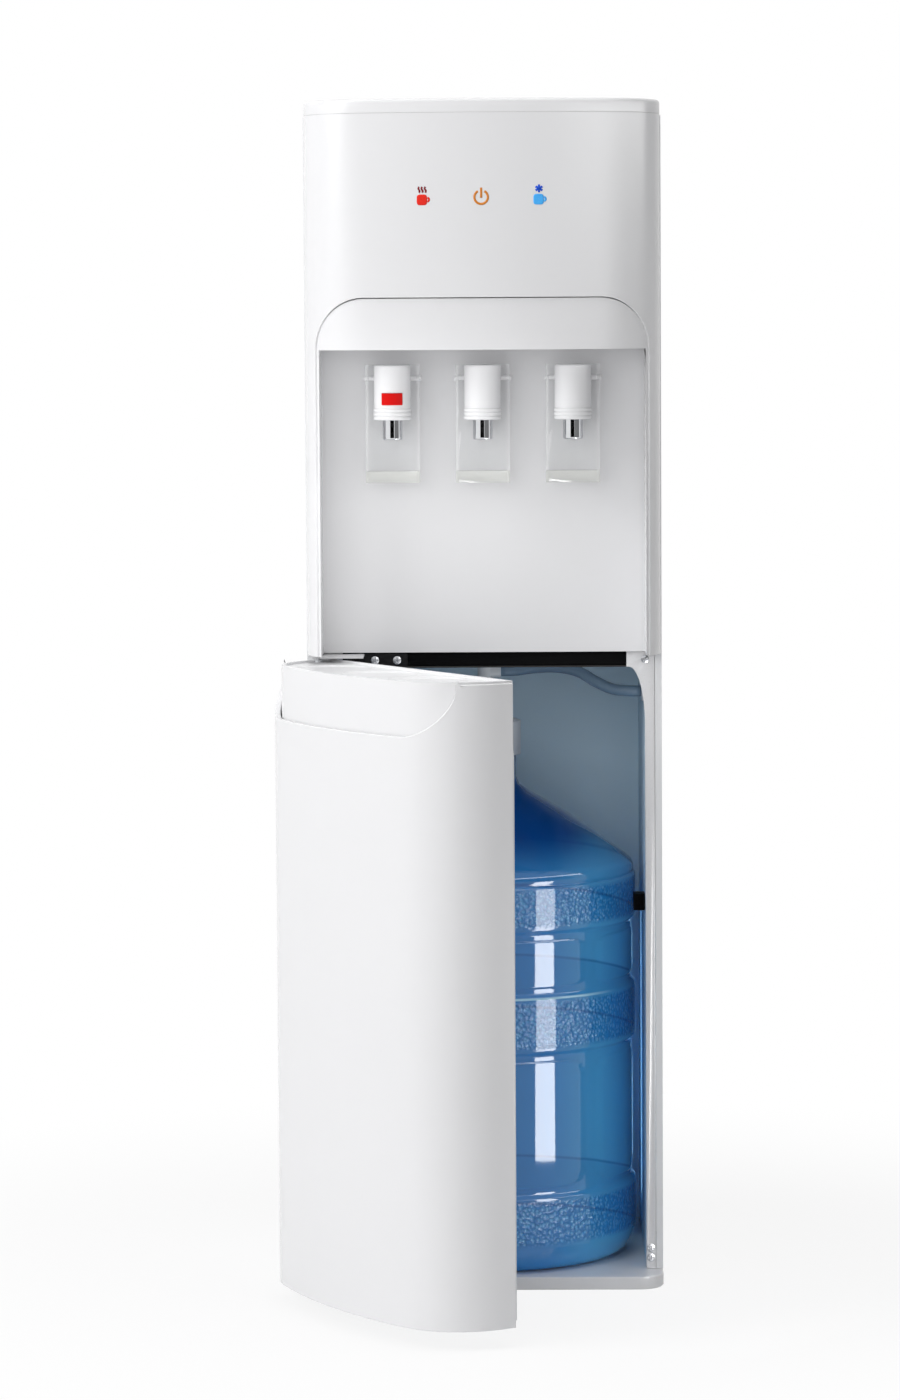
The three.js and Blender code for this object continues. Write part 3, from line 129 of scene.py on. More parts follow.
def open_patch(points):
    """A patch from a grid of points, rows upwards and columns to the right."""
    return points, grid_faces(*points.shape[:2])


def thicken(piece, wall):
    """Gives a surface its wall, on the side away from the viewer."""
    solidify = piece.modifiers.new("wall", "SOLIDIFY")
    solidify.thickness = wall * MM
    solidify.offset = -1
    solidify.use_even_offset = True


def ease_edges(piece, width, segments=3, angle=32):
    """Rounds every edge sharper than an angle, as a mould or a file leaves it."""
    bevel = piece.modifiers.new("eased edges", "BEVEL")
    bevel.width = width * MM
    bevel.segments = segments
    bevel.limit_method = "ANGLE"
    bevel.angle_limit = math.radians(angle)
    bevel.harden_normals = True


def finish_piece(piece, finish, slot, body, *nodes):
    """Gives a piece its material, its body and the CAD nodes that it stands for, which it hides.
    The slot is not used.
    """
    piece.data.materials.append(finish)
    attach(piece, body)
    if nodes:
        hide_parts(*nodes)


class Wire:
    """An output of a shader node. Sums and products of wires and numbers add Math nodes."""

    def __init__(self, owner, socket):
        self.owner, self.socket = owner, socket

    def maths(self, operation, first, second):
        return self.owner.node("ShaderNodeMath", {"operation": operation}, {0: first, 1: second})

    def __add__(self, other):
        return self.maths("ADD", self, other)

    def __rsub__(self, other):
        return self.maths("SUBTRACT", other, self)

    def __sub__(self, other):
        return self.maths("SUBTRACT", self, other)

    def __mul__(self, other):
        return self.maths("MULTIPLY", self, other)

    __radd__ = __add__
    __rmul__ = __mul__


class Nodes:
    """A node tree, of a material or of the world, and the ways to add to it."""

    def __init__(self, tree):
        self.tree = tree

    def node(self, kind, settings=None, values=None, output=0):
        """Adds a node: its settings first, then numbers, colours or wires on its sockets."""
        added = self.tree.nodes.new(kind)
        for name, value in (settings or {}).items():
            setattr(added, name, value)
        for name, value in (values or {}).items():
            self.join(added.inputs[name], value)
        return Wire(self, added.outputs[output])

    def join(self, socket, value):
        if isinstance(value, Wire):
            self.tree.links.new(value.socket, socket)
        elif hasattr(socket.default_value, "__len__") and len(socket.default_value) == 4:
            socket.default_value = (*value[:3], 1.0)
        else:
            socket.default_value = value

    def surface(self, value):
        """Joins a shader to the tree's output."""
        ends = (node for node in self.tree.nodes if node.type.startswith("OUTPUT"))
        self.join(next(ends).inputs["Surface"], value)

    def rays(self):
        """1 for a ray from the camera; off something shiny; through something clear."""
        kinds = ("Is Camera Ray", "Is Glossy Ray", "Is Transmission Ray")
        return [self.node("ShaderNodeLightPath", output=kind) for kind in kinds]


class Paint(Nodes):
    """A material. Colour, roughness and the like are set straight on its shader."""

    def __init__(self, name, **constants):
        self.material = bpy.data.materials.new(name)
        self.material.use_nodes = True
        super().__init__(self.material.node_tree)
        self.shader = self.tree.nodes["Principled BSDF"]
        self.place = self.node("ShaderNodeTexCoord", output="Object")
        for socket, value in constants.items():
            self.put(socket.replace("_", " ").title().replace("Ior", "IOR"), value)

    def put(self, socket, value):
        self.join(self.shader.inputs[socket], value)

    def along(self, axis):
        """One coordinate of the place on the object, in metres."""
        return self.node("ShaderNodeSeparateXYZ", None, {"Vector": self.place}, axis)

    def noise(self, scale, detail=2.0, stretch=(1, 1, 1)):
        """Smooth noise between 0 and 1, its size set per metre, drawn out along an axis."""
        at = self.node("ShaderNodeMapping", None, {"Vector": self.place, "Scale": stretch})
        sockets = {"Vector": at, "Scale": scale, "Detail": detail}
        return self.node("ShaderNodeTexNoise", None, sockets)

    def ramp(self, value, start, end):
        """0 before start, 1 past end, and smooth between. It falls where end is under start."""
        sockets = {"Value": value, "From Min": start, "From Max": end}
        return self.node("ShaderNodeMapRange", {"interpolation_type": "SMOOTHSTEP"}, sockets)

    def within(self, value, low, high, rise, fall):
        """1 between low and high, after a smooth rise from low and before a fall to high."""
        return self.ramp(value, low, low + rise) * self.ramp(value, high, high - fall)

    def mix(self, share, first, second):
        """A colour between two others."""
        sockets = {0: share, 6: first, 7: second}  # the node's factor and its two colours
        return self.node("ShaderNodeMix", {"data_type": "RGBA"}, sockets, 2)

    def bump(self, height, depth, strength=1.0):
        """Relief of a real depth in millimetres, from a height between 0 and 1."""
        sockets = {"Height": height, "Distance": depth * MM, "Strength": strength}
        self.put("Normal", self.node("ShaderNodeBump", None, sockets))


def moulded_plastic(
    name, colour, roughness, grain=900, depth=0.01, coat=0.0, mottle=0.015, shine=0.5
):
    """Injection moulded plastic: a slight cloudiness in its colour, a fine grain, and rubbed
    patches where it is a little less glossy."""
    paint = Paint(name, coat_weight=coat, coat_roughness=0.08, specular_ior_level=shine)
    cloud = paint.noise(9)
    darker = tuple(c * (1 - mottle) for c in colour)
    paint.put("Base Color", paint.mix(cloud, darker, colour))
    rubbed = paint.ramp(paint.noise(12, 1), 0.3, 0.8)
    paint.put("Roughness", roughness + 0.012 * rubbed + 0.02 * paint.noise(grain, 1))
    paint.bump(paint.noise(grain, 2), depth)
    return paint.material


WHITE = (0.76, 0.76, 0.77)
white_plastic = moulded_plastic("white_plastic", WHITE, 0.24, depth=0.004)


def arch_columns(half, flats, turns):
    """X from the middle to the right end of an arch: even over its flat top, and by angle round
    its shoulder."""
    turn = np.linspace(0, math.pi / 2, turns)[1:]
    shoulder = half - ARCH_CORNER[0] * (1 - np.sin(turn))
    return np.concatenate([np.linspace(0, half - ARCH_CORNER[0], flats), shoulder])


def both_ways(right):
    """Columns from the left to the right, from those right of the middle."""
    return np.concatenate([-right[:0:-1], right])


def mirrored(points):
    """The left half from the right half, its columns turned about."""
    return points[:, ::-1] * (-1, 1, 1)


def arch_rise(x, half, corner):
    """Height of an arch over its springing at X: level in the middle, and a quarter of an
    ellipse at each side."""
    share = np.clip((np.abs(x) - (half - corner[0])) / corner[0], 0, 1)
    return corner[1] * np.sqrt(1 - share**2)


def spread(*coordinates):
    """A grid of points from their coordinates, each repeated over the rows or columns that it
    lacks."""
    return np.stack(np.broadcast_arrays(*coordinates), -1)


def bowed_sheet(x, low, high, rows, back):
    """Rows of points from low to high along the bowed front, with straight sides to the back
    where the columns reach the full width."""
    count = SIDE_STEPS if np.isclose(x[-1], HEAD_HALF) else 0
    side = np.linspace(back, TANGENT, SIDE_STEPS + 1)[:count]
    low, high, across = (np.pad(line, count, "edge") for line in (low, high, x))
    depth = np.concatenate([side, bow_y(x), side[::-1]])
    height = low + (high - low) * np.linspace(0, 1, rows)[:, None]
    return spread(across, depth, height)


corner_start = math.asin((ARCH_HALF - CORNER_X) / CORNER_RADIUS)
corner_turn = np.linspace(corner_start, math.pi / 2, 9)[1:]
head_corner = CORNER_X + CORNER_RADIUS * np.sin(corner_turn)
head_x = both_ways(np.concatenate([arch_columns(ARCH_HALF, 30, 15), head_corner]))
head_back = FRONT - HEAD_GAP
flush = np.full_like(head_x, HEAD_HIGH[2] + LID_LAP)
arch_line = ARCH_SPRING + arch_rise(head_x, ARCH_HALF, ARCH_CORNER)
leg = head_x >= ARCH_HALF - 0.01


def leg_sheet(low, high, back, rows=12):
    """The two legs beside an arch, from low to high."""
    right = bowed_sheet(head_x[leg], low[leg], high[leg], rows, back)[:, SIDE_STEPS:]
    return [open_patch(mirrored(right)), open_patch(right)]


head = make_mesh(
    "head",
    [open_patch(bowed_sheet(head_x, arch_line, flush, 14, head_back))]
    + leg_sheet(np.full_like(head_x, HEAD_LOW[2]), arch_line, head_back),
)
thicken(head, HEAD_WALL)
ease_edges(head, 0.3)
finish_piece(head, white_plastic, "white_plastic", "cooler", "head_cover")

# ---- Indicator prints ----
# Three small marks over the arch, pad-printed on the head and lit from behind by the light guide:
# a steaming cup in red, the power mark in orange and a cup with a snow star in blue.

PRINT_PROUD = 0.12
ICON_SPACING = 50
ICON_RISE = 1.9  # over the board's middle
ICON_Z = sum(extent("indicator_board"))[2] / 2 + ICON_RISE
MUG_HALF = 4.6
MUG_X, MUG_Z = -0.8, -3  # the mug's middle from the mark's
WISP_RISE, WISP_STEP = 5, 2.7
STAR_ARM = 3.4
POWER_RADIUS = 5.8


def printed_line(points, width):
    """A ribbon of even width along a line of (x, z) points, laid on the bowed front."""
    line = np.asarray(points, float)
    along = np.gradient(line, axis=0)
    along /= np.linalg.norm(along, axis=1, keepdims=True)
    aside = np.stack([-along[:, 1], along[:, 0]], -1) * width / 2
    both = np.stack([line - aside, line + aside])
    x, z = both[..., 0], both[..., 1]
    return open_patch(spread(x, bow_y(x) - PRINT_PROUD, z))


def ring_line(x, z, radius, start, end, count):
    """Points of an arc about a middle, its angles in degrees from the right."""
    turn = np.radians(np.linspace(start, end, count))
    return np.stack([x + radius * np.cos(turn), z + radius * np.sin(turn)], -1)


def straight(x0, z0, x1, z1, count=5):
    """Points along a straight line."""
    share = np.linspace(0, 1, count)[:, None]
    return np.array([x0, z0]) * (1 - share) + np.array([x1, z1]) * share


def full_turn(count):
    """Angles all the way round, without the first one again at the end."""
    return np.linspace(0, 2 * math.pi, count, endpoint=False)


def round_patch(points, turned=False):
    """A patch from a grid whose last column joins its first. It is turned where its columns
    run to the left, seen from outside."""
    faces = grid_faces(*points.shape[:2], True)
    return points, faces[:, ::-1] if turned else faces


def filled(outline, middle):
    """A flat patch of ink inside a closed outline of (x, z) points, shrunk towards its middle."""
    share = np.linspace(0.02, 1, 5)[:, None, None]
    flat = np.array(middle) + (np.asarray(outline) - middle) * share
    x, z = flat[..., 0], flat[..., 1]
    return round_patch(spread(x, bow_y(x) - PRINT_PROUD, z))


def cup(x, z):
    """A filled cup, square at the top and round at the foot, and its handle at the right."""
    turn = full_turn(40)
    square = np.abs(np.cos(turn)) ** 4 + np.abs(np.sin(turn)) ** 4
    reach = MUG_HALF / square**0.25
    x, z = x + MUG_X, z + MUG_Z
    body = np.stack([x + reach * np.cos(turn) * 0.98, z + reach * np.sin(turn)], -1)
    handle = ring_line(x + 4.4, z + 0.2, 1.7, -80, 80, 13)
    return [filled(body, (x, z)), printed_line(handle, 1.8)]


def steam(x, z):
    """Three wisps, each an S along its height."""
    rise = np.linspace(0, WISP_RISE, 13)
    wisp = np.stack([0.55 * np.sin(rise * 1.3), rise], -1)
    return [printed_line(wisp + (x + i * WISP_STEP - 0.6, z + 3.2), 1.6) for i in (-1, 0, 1)]


def snow_star(x, z):
    """Three crossed strokes about a filled middle."""
    turn = np.radians([90, 30, 150])
    tips = np.stack([np.cos(turn), np.sin(turn)], -1) * STAR_ARM
    return [printed_line(straight(x - a, z - b, x + a, z + b), 1.9) for a, b in tips]


def power_mark(x, z):
    """A ring open at the top, with a stroke through its opening."""
    return [
        printed_line(ring_line(x, z, POWER_RADIUS, 118, 422, 41), 2),
        printed_line(straight(x, z - 0.6, x, z + 8.2), 2),
    ]


def printed_mark(name, ribbons, colour):
    """All the ribbons of one mark as one thin layer of ink."""
    mark = make_mesh(name, ribbons)
    thicken(mark, PRINT_PROUD / 2)
    ink = moulded_plastic(name + "_ink", colour, 0.5, depth=0.002, mottle=0.12, shine=0.2)
    finish_piece(mark, ink, "white_plastic", "cooler")


hot_x, cold_x = -ICON_SPACING, ICON_SPACING
printed_mark("hot_mark", cup(hot_x, ICON_Z), (0.80, 0.025, 0.012))
printed_mark("steam_mark", steam(hot_x, ICON_Z), (0.20, 0.002, 0.008))
printed_mark("power_mark", power_mark(0, ICON_Z - 1.0), (0.66, 0.23, 0.03))
printed_mark("cold_mark", cup(cold_x, ICON_Z), (0.07, 0.46, 1.0))
printed_mark("star_mark", snow_star(cold_x - 0.4, ICON_Z + 6.2), (0.01, 0.09, 0.66))

# ---- Top cover ----
# The lid over the whole cooler, one white moulding whose plan is the head's with its edge rolled
# over. It drops on the steel sides and is screwed from behind.

TOP_LOW, TOP_HIGH = extent("top_cover")
TOP_ROLL = 3
TOP_CHAMFER = 0.15  # round the foot
TOP_DISH = 0.9  # the fall inside the rolled edge


def plan_ring(inset, back, count=17):
    """Closed plan outline of the bowed front, drawn in by an inset, from the back left corner
    round the front to the back right corner."""
    corner = np.linspace(math.pi / 2, BOW_ANGLE, count)
    middle = np.linspace(BOW_ANGLE, -BOW_ANGLE, 2 * count)[1:]
    tight, wide = CORNER_RADIUS - inset, BOW_RADIUS - inset
    left = np.stack([-CORNER_X - tight * np.sin(corner), TANGENT - tight * np.cos(corner)], -1)
    bow = np.stack([-wide * np.sin(middle), BOW_CENTRE - wide * np.cos(middle)], -1)
    right = left[::-1][1:] * (-1, 1)
    side = np.linspace(back - inset, TANGENT, 9)[:-1]
    flank = np.stack([np.full_like(side, -HEAD_HALF + inset), side], -1)
    return np.concatenate([flank, left, bow, right, flank[::-1] * (-1, 1)])


def ring_grid(rings):
    """Rows of points from plan rings (outline, z)."""
    return np.stack([np.column_stack([ring, np.full(len(ring), z)]) for ring, z in rings])


def stacked(rings):
    """A closed patch from plan rings (outline, z) one over another, the first and the last
    filled in. Seen from above, the outlines run against the clock."""
    grid = ring_grid(rings)
    rows, columns = grid.shape[:2]
    cap = np.arange(columns)
    top = [((rows - 1) * columns + cap).tolist()]
    foot = [cap[::-1].tolist()]
    return grid, [*grid_faces(rows, columns, True).tolist(), *top, *foot]


def rolled(roll, steps=5):
    """(inset, drop) pairs of a quarter round edge, from the side up to the top."""
    turn = np.linspace(0, math.pi / 2, steps)
    return [(roll * (1 - math.cos(t)), roll * (1 - math.sin(t))) for t in turn]


def sharpen(piece, angle=38):
    """Keeps the edges between faces at more than an angle crisp."""
    shape = bmesh.new()
    shape.from_mesh(piece.data)
    limit = math.radians(angle)
    for edge in shape.edges:
        edge.smooth = edge.calc_face_angle(0) < limit
    shape.to_mesh(piece.data)
    shape.free()


top_back = TOP_HIGH[1]
top_rings = [(plan_ring(TOP_CHAMFER, top_back), TOP_LOW[2])]
top_rings += [(plan_ring(0, top_back), TOP_LOW[2] + TOP_CHAMFER)]
top_rings += [(plan_ring(i, top_back), TOP_HIGH[2] - drop) for i, drop in rolled(TOP_ROLL)]
top_rings += [(plan_ring(9, top_back), TOP_HIGH[2])]
top_rings += [(plan_ring(10.5, top_back), TOP_HIGH[2] - TOP_DISH)]
top = make_mesh("top_lid", [stacked(top_rings)])
sharpen(top)
finish_piece(top, white_plastic, "white_plastic", "cooler", "top_cover")

# ---- Dispensing panel ----
# The panel in the arch: a bare label strip, a ceiling, two side walls and the wall that the taps
# come through. It is one glossy white moulding, set 1.5 mm back from the head.

PANEL_LOW, PANEL_HIGH = extent("dispensing_panel")
PANEL_EASE = 0.3  # the panel's edge, drawn in from its solid's
PANEL_HALF = PANEL_HIGH[0] - PANEL_EASE
PANEL_SPRING = PANEL_HIGH[2] - PANEL_EASE - ARCH_CORNER[1]
PANEL_WALL = 2.5
PANEL_SET = 1.5
STRIP_HEIGHT = 44.5
NICHE_HALF = PANEL_HALF - PANEL_WALL
NICHE_TOP = PANEL_HIGH[2] - STRIP_HEIGHT
NICHE_BACK = FRONT - 4
NICHE_RISE = np.linspace(PANEL_LOW[2], NICHE_TOP, 20)
NICHE_SHARE = np.linspace(0, 1, 9)  # of the way from the niche's wall to its front


def panel_front(x, rows=8):
    """The label strip: rows from the niche's ceiling to the arch along the set-back bow."""
    top = PANEL_SPRING + arch_rise(x, PANEL_HALF, ARCH_CORNER)
    height = NICHE_TOP + (top - NICHE_TOP) * np.linspace(0, 1, rows)[:, None]
    return spread(x, bow_y(x, PANEL_SET), height)


def niche_profile(x):
    """Up the niche's wall and forward along its ceiling, for each column."""
    wall = spread(x, NICHE_BACK, NICHE_RISE[:, None])
    forward = NICHE_BACK + (bow_y(x, PANEL_SET) - NICHE_BACK) * NICHE_SHARE[:, None]
    ceiling = spread(x, forward, NICHE_TOP)
    return wall, ceiling


def niche_side():
    """The right side wall from the niche's wall forward, and its narrow front edge."""
    forward = NICHE_BACK + (bow_y(NICHE_HALF, PANEL_SET) - NICHE_BACK) * NICHE_SHARE
    x = np.append(np.full(len(forward), NICHE_HALF), PANEL_HALF)
    y = np.append(forward, bow_y(PANEL_HALF, PANEL_SET))
    return spread(x, y, NICHE_RISE[:, None])


panel_x = arch_columns(PANEL_HIGH[0], 22, 13)
panel_x = both_ways(np.append(panel_x[panel_x < NICHE_HALF - 0.5], NICHE_HALF))
wall, ceiling = niche_profile(panel_x)
side_wall = niche_side()
strip_end = panel_front(np.linspace(NICHE_HALF, PANEL_HALF, 5))
sheets = [wall, ceiling, panel_front(panel_x), side_wall, mirrored(side_wall)]
sheets += [strip_end, mirrored(strip_end)]
panel = make_mesh("tap_panel", [open_patch(sheet) for sheet in sheets])
thicken(panel, PANEL_WALL)
ease_edges(panel, 0.8)
finish_piece(panel, white_plastic, "white_plastic", "cooler", "dispensing_panel")

# ---- Base plate ----
# The tray that everything stands on, white moulded plastic with round front corners, level with
# the steel sides and reaching forward under the door.

BASE_LOW, BASE_HIGH = extent("base_plate")
BASE_CORNER = 22
BASE_CHAMFER = 1.2
BASE_ROLL = 1.6


def base_ring(inset):
    """Plan of the base: two square corners behind and two round ones in front."""
    turn = np.linspace(0, math.pi / 2, 13)
    radius = BASE_CORNER - inset
    centre = (BASE_HIGH[0] - BASE_CORNER, BASE_LOW[1] + BASE_CORNER)
    right = np.stack([centre[0] + radius * np.sin(turn), centre[1] - radius * np.cos(turn)], -1)
    behind = np.array([[BASE_HIGH[0] - inset, BASE_HIGH[1] - inset]])
    half = np.concatenate([right, behind])
    return np.concatenate([half[::-1] * (-1, 1), half])


base_rings = [(base_ring(BASE_CHAMFER), BASE_LOW[2])]
base_rings += [(base_ring(0), BASE_LOW[2] + BASE_CHAMFER)]
base_rings += [(base_ring(i), BASE_HIGH[2] - drop) for i, drop in rolled(BASE_ROLL)]
base = make_mesh("base_tray", [stacked(base_rings)])
sharpen(base)
finish_piece(base, white_plastic, "white_plastic", "cooler", "base_plate")

# ---- Door ----
# The door swings on two pins at its left edge: an outer skin, an inner liner and a cap whose top is
# a tray with three shallow cups. Skin and cap are glossy white mouldings, screwed to the liner.
# It is worked out shut, as the mirror of the head, then turned about the pins to where it stands.

DOOR_ANGLE = math.radians(-58)
HINGE = (-HEAD_HALF + 9.2, FRONT - 20)  # the pins' axis
DOOR_BACK = FRONT - 3
LINER_WALL = 3
CAP_LOW, CAP_HIGH = extent("door_cap")
CAP_HEIGHT = 46  # down to the lowest of the seam
CAP_INSET = 6
CAP_RIM = 3.5
SKIN_LOW, SKIN_HIGH = extent("door_skin")
SKIN_SEAM = CAP_HIGH[2] - CAP_HEIGHT
SKIN_CORNER = (42, 42)
SKIN_WALL = CAP_INSET - 1
TRAY_DROP = 1.8
CUP_RADIUS = 33
CUP_SLOPE = 1.8  # width of a cup's sloping side
CUP_DEPTH = 1.2
CUP_SPACING = 78.5
CUP_Y = DOOR_BACK - 42


def swung(points):
    """Points of the shut door turned about the hinge pins."""
    turned = np.array(points, float)
    across, depth = points[..., 0] - HINGE[0], points[..., 1] - HINGE[1]
    cos, sin = math.cos(DOOR_ANGLE), math.sin(DOOR_ANGLE)
    turned[..., 0] = HINGE[0] + across * cos - depth * sin
    turned[..., 1] = HINGE[1] + across * sin + depth * cos
    return turned


def swung_patches(patches):
    """The same for patches of (points, faces)."""
    return [(swung(points), faces) for points, faces in patches]


skin_top = SKIN_SEAM + SKIN_CORNER[1] - arch_rise(head_x, ARCH_HALF, SKIN_CORNER)
skin_foot = np.full_like(head_x, SKIN_LOW[2])
skin_back = DOOR_BACK - LINER_WALL
skin = make_mesh(
    "door_front",
    swung_patches(
        [open_patch(bowed_sheet(head_x, skin_foot, skin_top, 24, skin_back))]
        + leg_sheet(skin_top, np.full_like(head_x, SKIN_HIGH[2]), skin_back, 2)
    ),
)
thicken(skin, SKIN_WALL)
ease_edges(skin, 0.9)
finish_piece(skin, white_plastic, "white_plastic", "door", "door_skin")


def cap_plan(inset, columns=241, rows=49):
    """Grid over the cap's plan: columns across, rows from the bowed front to the straight back."""
    half = HEAD_HALF - inset
    x = half * np.sin(np.linspace(-math.pi / 2, math.pi / 2, columns))
    back = DOOR_BACK - (inset - CAP_INSET)
    share = np.linspace(0, 1, rows)[:, None]
    y = bow_y(x, inset) + (back - bow_y(x, inset)) * share
    return spread(x, y)


def rim_of(plan):
    """The grid's edge as a ring: forward along the left side, along the front, back along the
    right side and along the straight back."""
    left, front, right, back = plan[::-1, 0], plan[0], plan[:, -1], plan[-1, ::-1]
    return np.concatenate([side[:-1] for side in (left, front, right, back)])


def cap_walls():
    """From the foot of the cap up its outside, over the rim and down to the tray."""
    outer, inner = rim_of(cap_plan(CAP_INSET)), rim_of(cap_plan(CAP_INSET + CAP_RIM))
    rings = [(outer, CAP_LOW[2]), (outer, CAP_HIGH[2]), (inner, CAP_HIGH[2])]
    rings += [(inner, CAP_HIGH[2] - TRAY_DROP)]
    return round_patch(ring_grid(rings))


def smooth_step(value):
    """0 up to 0, 1 from 1 on, and smooth between."""
    value = np.clip(value, 0, 1)
    return value * value * (3 - 2 * value)


def tray_floor():
    """The tray, dished by the cup depth within a cup's radius of each cup's middle."""
    plan = cap_plan(CAP_INSET + CAP_RIM)
    middles = np.array([[-CUP_SPACING, CUP_Y], [0, CUP_Y], [CUP_SPACING, CUP_Y]])
    reach = np.linalg.norm(plan[:, :, None] - middles, axis=-1).min(-1)
    drop = CUP_DEPTH * smooth_step((CUP_RADIUS - reach) / CUP_SLOPE)
    height = CAP_HIGH[2] - TRAY_DROP - drop
    return open_patch(np.dstack([plan, height]))


cap = make_mesh("door_tray", swung_patches([cap_walls(), tray_floor()]))
ease_edges(cap, 0.7, angle=50)
finish_piece(cap, white_plastic, "white_plastic", "door", "door_cap")

# ---- Taps ----
# Three taps on necks through the panel's wall, the same white plastic: a plain round body with
# three ribs at its foot. The hot one has a pocket in its front for the child lock.

TAP_RADIUS = 16
TAP_SPACING = 78.5
TAP_Y = FRONT - 46
TAP_TOP = extent("hot_tap")[1][2]
TAP_FOOT = TAP_TOP - 47.5
RIB_COUNT = 3
RIB_PITCH = 3.4
RIB_PROUD = 0.7
GROOVE = 0.3  # depth of the grooves between the ribs
NECK_RADIUS = 9
NECK_Z = TAP_FOOT + 27
PIVOT_RADIUS = 2.2
PIVOT_HALF = 25
PIVOT_AT = (FRONT - 35, TAP_TOP - 11.5)
BUTTON_LOW, BUTTON_HIGH = extent("lock_button")
POCKET_GAP = 0.35
POCKET_DEPTH = 9.5


def lathe(profile, x, y, sides=72):
    """A turned surface: (radius, z) pairs taken round a vertical axis, from the foot up."""
    turn = full_turn(sides)
    radius, z = np.asarray(profile, float).T
    ring = np.stack([np.cos(turn), np.sin(turn)], -1)
    around = radius[:, None, None] * ring + (x, y)
    height = np.broadcast_to(z[:, None, None], (*around.shape[:2], 1))
    return round_patch(np.concatenate([around, height], -1))


def ribs(foot):
    """(radius, z) pairs of the three round ribs, each half a circle between two grooves."""
    share = np.linspace(0, 1, 9)
    pairs = []
    for i in range(RIB_COUNT):
        z = foot + RIB_PITCH * (i + share)
        radius = TAP_RADIUS - GROOVE + (RIB_PROUD + GROOVE) * np.sin(math.pi * share) ** 0.6
        last = None if i == RIB_COUNT - 1 else -1
        pairs += list(zip(radius, z))[:last]
    return pairs


def tap_profile():
    """From the middle of the underside, out, up the ribs and the plain body, and in again."""
    under = TAP_FOOT + 0.5
    foot = [(0.01, under), (8.4, under), (9, TAP_FOOT), (TAP_RADIUS - 0.6, TAP_FOOT)]
    plain = [(TAP_RADIUS, TAP_FOOT + RIB_COUNT * RIB_PITCH + 0.3)]
    plain += [(TAP_RADIUS, z) for z in np.linspace(TAP_FOOT + 11, TAP_TOP - 1.5, 12)]
    crown = [(TAP_RADIUS - i, TAP_TOP - drop) for i, drop in rolled(1.5)]
    return foot + ribs(TAP_FOOT) + plain + crown + [(6, TAP_TOP - 0.1), (0.01, TAP_TOP - 0.1)]


def bar(radius, start, end, along="y", at=(0, 0), sides=32):
    """A round bar along Y or X between two places, about the middle given by its other two
    coordinates, with closed ends."""
    turn = full_turn(sides)
    radii = np.array([0.01, radius, radius, 0.01])
    ends = np.array([start, start, end, end], float)[:, None]
    a = at[0] + radii[:, None] * np.cos(turn)
    b = at[1] + radii[:, None] * np.sin(turn)
    order = (a, ends, b) if along == "y" else (ends, a, b)
    return round_patch(spread(*order), along == "y")


def button_pocket(x):
    """The tap's body cut for the lock: quads of the body within the pocket are left out, and
    a lining runs straight back from its edge."""
    points, faces = lathe(tap_profile(), x, TAP_Y, 144)
    low = BUTTON_LOW - POCKET_GAP
    high = BUTTON_HIGH + POCKET_GAP
    middle = points.reshape(-1, 3)[faces].mean(1)
    inside = (middle[:, 0] > low[0]) & (middle[:, 0] < high[0]) & (middle[:, 1] < TAP_Y)
    inside &= (middle[:, 2] > low[2]) & (middle[:, 2] < high[2])
    across = np.array([low[0], high[0], high[0], low[0]])
    height = np.array([low[2], low[2], high[2], high[2]])
    front = TAP_Y - np.sqrt(TAP_RADIUS**2 - (across - x) ** 2)
    edge = np.stack([across, front + 0.2, height], -1)
    floor = edge * (1, 0, 1) + (0, TAP_Y - TAP_RADIUS + POCKET_DEPTH, 0)
    quads = grid_faces(2, 4, True)[:, ::-1].tolist()
    return [(points, faces[~inside]), (np.stack([floor, edge]), [*quads, [0, 1, 2, 3]])]


def tap(name, x, body_patches):
    neck = bar(NECK_RADIUS, TAP_Y + 8, FRONT + 12, at=(x, NECK_Z), sides=40)
    pivot = bar(PIVOT_RADIUS, x - PIVOT_HALF, x + PIVOT_HALF, "x", PIVOT_AT, 20)
    made = make_mesh(name, [*body_patches, neck, pivot])
    sharpen(made, 45)
    finish_piece(made, white_plastic, "white_plastic", "cooler", name.replace("_body", ""))


tap("hot_tap_body", -TAP_SPACING, button_pocket(-TAP_SPACING))
tap("normal_tap_body", 0, [lathe(tap_profile(), 0, TAP_Y)])
tap("cold_tap_body", TAP_SPACING, [lathe(tap_profile(), TAP_SPACING, TAP_Y)])

# ---- Child lock ----
# The red push button in the hot tap, a moulded pad that follows the tap's round front and slides
# back into its pocket on a spring.

red_plastic = moulded_plastic("red_plastic", (0.62, 0.004, 0.003), 0.45, mottle=0.08, shine=0.1)


def lock_pad():
    """A grid over the button's front on a cylinder round the tap's axis, and its straight sides."""
    x = np.linspace(BUTTON_LOW[0], BUTTON_HIGH[0], 25)
    radius = TAP_Y - BUTTON_LOW[1]
    y = TAP_Y - np.sqrt(radius**2 - (x + TAP_SPACING) ** 2)
    z = np.array([BUTTON_LOW[2], BUTTON_HIGH[2]])
    front = spread(x, y, z[:, None])
    ring = np.concatenate([front[0], front[1, ::-1]])
    back = ring * (1, 0, 1) + (0, BUTTON_HIGH[1], 0)
    sides = grid_faces(2, len(ring), True).tolist()
    behind = np.arange(len(ring))[::-1].tolist()
    return [open_patch(front), (np.stack([back, ring]), [*sides, behind])]


lock = make_mesh("lock_pad", lock_pad())
ease_edges(lock, 0.6, angle=50)
finish_piece(lock, red_plastic, "red_plastic", "lock_button", "lock_button")

# ---- Spouts ----
# A short chromed tube under each tap, pressed into the tap's foot, with a rounded mouth and an
# open bore.

